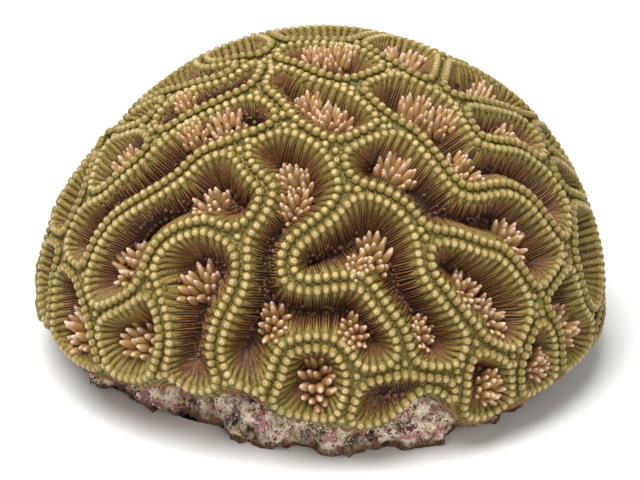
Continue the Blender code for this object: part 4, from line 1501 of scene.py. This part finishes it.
@functools.cache
def rock_form():
    """Points and faces of the reef rock, with how deep each point lies in a hole."""
    sizes = bpy.context.scene.rock_sizes
    form = bmesh.new()
    bmesh.ops.create_icosphere(form, subdivisions=7, radius=1.0)
    for vertex in form.verts:
        way = vertex.co.normalized()
        turn = math.atan2(way.y, way.x)
        wave = 1.0 + 0.008 * math.sin(3 * turn + 1.0) + 0.008 * math.sin(8 * turn + 0.4)
        for bearing, spread, share in ROCK_LOBES:
            wave += share * math.exp(-(((math.degrees(turn) - bearing) / spread) ** 2))
        level = math.copysign(abs(way.z) ** 0.45, way.z)
        reach = wave * math.sqrt(max(0.0, 1.0 - abs(level) ** ROCK_SHOULDER_POWER))
        across = math.hypot(way.x, way.y) or 1.0
        vertex.co = Vector((
            ROCK_SHIFT + way.x / across * reach * ROCK_HALF_WIDTH,
            way.y / across * reach * ROCK_HALF_DEPTH,
            ROCK_WIDEST_LEVEL + level * (ROCK_ABOVE_WIDEST if level > 0 else ROCK_BELOW_WIDEST),
        ))
    mesh = bpy.data.meshes.new("rock")
    form.to_mesh(mesh)
    form.free()
    rock = bpy.data.objects.new("rock", mesh)
    bpy.context.scene.collection.objects.link(rock)
    for name, size, strength in (("lumps", 0.011, ROCK_ROUGHNESS), ("pits", 0.0042, ROCK_ROUGHNESS * 0.4)):
        texture = bpy.data.textures.new(name, "CLOUDS")
        texture.noise_scale = size
        texture.noise_depth = 1
        rough = rock.modifiers.new(name, "DISPLACE")
        rough.texture = texture
        rough.texture_coords = "LOCAL"
        rough.strength = strength
        rough.mid_level = 0.5
    depsgraph = bpy.context.evaluated_depsgraph_get()
    rough_mesh = bpy.data.meshes.new_from_object(rock.evaluated_get(depsgraph), depsgraph=depsgraph)
    points = np.array([vertex.co[:] for vertex in rough_mesh.vertices])
    normals = np.array([vertex.normal[:] for vertex in rough_mesh.vertices])
    faces = np.array([face.vertices[:] for face in rough_mesh.polygons])
    bpy.data.objects.remove(rock, do_unlink=True)
    lumps = np.array([noise.fractal(Vector(point) / (3.4 * MM), 0.8, 2.1, 4) for point in points])
    grain = np.array([noise.ridged_multi_fractal(Vector(point) / (1.9 * MM), 0.9, 2.0, 3, 1.0, 2.0) for point in points])
    bent = [Vector(point) / (4.2 * MM) + noise.noise_vector(Vector(point) / (2.4 * MM)) * 0.5 for point in points]
    holes = np.array([noise.voronoi(place)[0][0] for place in bent])
    where = np.array([noise.noise(Vector(point) / (9.0 * MM)) for point in points])
    hollow = np.clip((0.36 - holes) / 0.2, 0.0, 1.0) * np.clip(0.5 + where * 2.4, 0.0, 1.0)
    relief = lumps * sizes.fine_relief + (grain - grain.mean()) * sizes.grain_relief - hollow * sizes.pit_depth
    points = points + normals * relief[:, None]
    points[:, 2] = np.clip(points[:, 2], 0.0, ROCK_TOP)
    return points, faces, hollow


class OBJECT_OT_coral_rock(bpy.types.Operator):
    """Makes the piece of reef rock under the colony"""

    bl_idname = "coral.rock"
    bl_label = "Reef rock"

    def execute(self, context):
        points, faces, hollow = rock_form()
        mesh = bpy.data.meshes.new("reef_rock")
        mesh.from_pydata(points.tolist(), [], faces.tolist())
        store(mesh, "hollow", hollow)
        mesh.polygons.foreach_set("use_smooth", [True] * len(mesh.polygons))
        mesh.materials.append(rock_finish(context.scene.rock_colours))
        rock = finished("reef_rock", mesh)
        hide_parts("base_rock")
        return {"FINISHED"}


class OBJECT_OT_coral_tufts(bpy.types.Operator):
    """Makes the small tufts and crusts on the rock"""

    bl_idname = "coral.tufts"
    bl_label = "Rock tufts"

    def execute(self, context):
        sizes = context.scene.rock_sizes
        points, faces, hollow = rock_form()
        draw = np.random.default_rng(SEED + 6)
        middle = points[faces].mean(axis=1)
        shown = (middle[:, 2] > 1.2 * MM) & (middle[:, 2] < ROCK_TOP - 1.0 * MM)
        count = sizes.tuft_count
        spots, upward = scattered_on(points, faces[shown], count, draw)
        patch = np.array([noise.noise(Vector(spot) / (6.0 * MM)) for spot in spots])
        grassy = patch > 0.16
        tone = np.where(grassy, 0.3, 0.5) * draw.uniform(0.8, 1.0, count)
        tone = np.where(~grassy & (draw.random(count) > 0.3), draw.uniform(0.6, 1.0, count), tone)
        wide = np.where(grassy, 0.42, 0.6) * draw.uniform(0.6, 1.3, count)
        tall = np.where(grassy, 1.5, 0.5) * draw.uniform(0.6, 1.2, count)
        places = places_object(
            spots - upward * 0.15 * MM,
            turn=turns(unit(upward + draw.normal(0.0, 0.3, (count, 3))), draw.normal(0.0, 1.0, (count, 3))),
            size=np.column_stack([wide, wide, tall]),
            tone=tone,
        )
        settings = {
            "Shape": turned_shape([(0.0, -0.2), (0.9, 0.0), (0.8, 0.5), (0.0, 1.0)], 5),
            "Size": sizes.tuft_width,
            "Unevenness": 0.2,
            "Seed": SEED,
            "Finish": tuft_finish(context.scene.rock_colours),
        }
        grow("rock_tufts", scatter_tree(), places, settings)
        return {"FINISHED"}


def area_light(name, power, width, place, target):
    """A broad soft light that looks at a place."""
    light = bpy.data.lights.new(name, "AREA")
    light.energy = power
    light.shape = "DISK"
    light.size = width
    made = bpy.data.objects.new(name, light)
    made.location = place
    made.rotation_euler = (Vector(target) - Vector(place)).to_track_quat("-Z", "Y").to_euler()
    bpy.context.scene.collection.objects.link(made)


class OBJECT_OT_coral_stage(bpy.types.Operator):
    """Makes the floor, the light and the camera"""

    bl_idname = "coral.stage"
    bl_label = "Stage"

    def execute(self, context):
        settings = context.scene.coral_stage
        form = bmesh.new()
        bmesh.ops.create_grid(form, x_segments=1, y_segments=1, size=settings.floor_width / 2)
        mesh = bpy.data.meshes.new("floor")
        form.to_mesh(mesh)
        form.free()
        floor = bpy.data.objects.new("floor", mesh)
        finish, tree, shader = new_finish("pale floor", 0.8, 0.2)
        shade = blended(tree, mottle(tree, 0.5, 1.0), settings.floor_colour, (0.86, 0.86, 0.85))
        tree.links.new(shade, shader.inputs["Base Color"])
        mesh.materials.append(finish)
        context.scene.collection.objects.link(floor)

        world = bpy.data.worlds.new("pale surround")
        world.use_nodes = True
        surround = world.node_tree.nodes["Background"]
        surround.inputs["Color"].default_value = (1.0, 1.0, 1.0, 1.0)
        surround.inputs["Strength"].default_value = settings.surround
        context.scene.world = world
        area_light("key", settings.key_power, 0.5, (-0.12, -0.16, 0.62), (0.0, 0.0, 0.03))
        area_light("fill", settings.fill_power, 0.5, (0.15, -0.62, 0.3), (0.0, 0.0, 0.03))

        camera = bpy.data.cameras.new("camera")
        camera.sensor_width = SENSOR_WIDTH
        camera.lens = SENSOR_WIDTH * EYE_FOCAL_PIXELS / IMAGE_WIDTH
        camera.clip_start = 0.01
        camera.clip_end = 20.0
        back = Vector((0.0, -math.cos(EYE_ELEVATION), math.sin(EYE_ELEVATION)))
        eye = bpy.data.objects.new("camera", camera)
        eye.location = Vector(EYE_TARGET) + back * EYE_DISTANCE
        eye.rotation_euler = (-back).to_track_quat("-Z", "Y").to_euler()
        context.scene.collection.objects.link(eye)
        context.scene.camera = eye
        context.scene.view_settings.view_transform = "Standard"
        return {"FINISHED"}


class VIEW3D_PT_coral(bpy.types.Panel):
    """Lists the coral's pieces"""

    bl_label = "Honeycomb coral"
    bl_space_type = "VIEW_3D"
    bl_region_type = "UI"
    bl_category = "Coral"

    def draw(self, context):
        for name, group in GROUPS.items():
            settings = getattr(context.scene, name)
            box = self.layout.box()
            box.label(text=group.__doc__)
            for value in group.__annotations__:
                box.prop(settings, value)
        for piece in PIECES:
            self.layout.operator(piece.bl_idname)


GROUPS = {
    "coral_sizes": CoralSizes,
    "coral_colours": CoralColours,
    "rock_sizes": RockSizes,
    "rock_colours": RockColours,
    "coral_stage": StageSettings,
}
PIECES = (
    OBJECT_OT_coral_stage,
    OBJECT_OT_coral_skin,
    OBJECT_OT_coral_beads,
    OBJECT_OT_coral_septa,
    OBJECT_OT_coral_fingers,
    OBJECT_OT_coral_granules,
    OBJECT_OT_coral_fuzz,
    OBJECT_OT_coral_rock,
    OBJECT_OT_coral_tufts,
)


def register():
    """Registers the settings, the operators and the panel."""
    for name, group in GROUPS.items():
        bpy.utils.register_class(group)
        setattr(bpy.types.Scene, name, bpy.props.PointerProperty(type=group))
    for piece in (*PIECES, VIEW3D_PT_coral):
        bpy.utils.register_class(piece)


def unregister():
    """Takes them away again."""
    for piece in (VIEW3D_PT_coral, *reversed(PIECES)):
        bpy.utils.unregister_class(piece)
    for name, group in GROUPS.items():
        delattr(bpy.types.Scene, name)
        bpy.utils.unregister_class(group)


def main():
    """Registers the settings, then builds every piece in order."""
    register()
    bpy.ops.coral.stage()
    bpy.ops.coral.skin()
    bpy.ops.coral.beads()
    bpy.ops.coral.septa()
    bpy.ops.coral.fingers()
    bpy.ops.coral.granules()
    bpy.ops.coral.fuzz()
    bpy.ops.coral.rock()
    bpy.ops.coral.tufts()


if __name__ == "__main__":
    main()
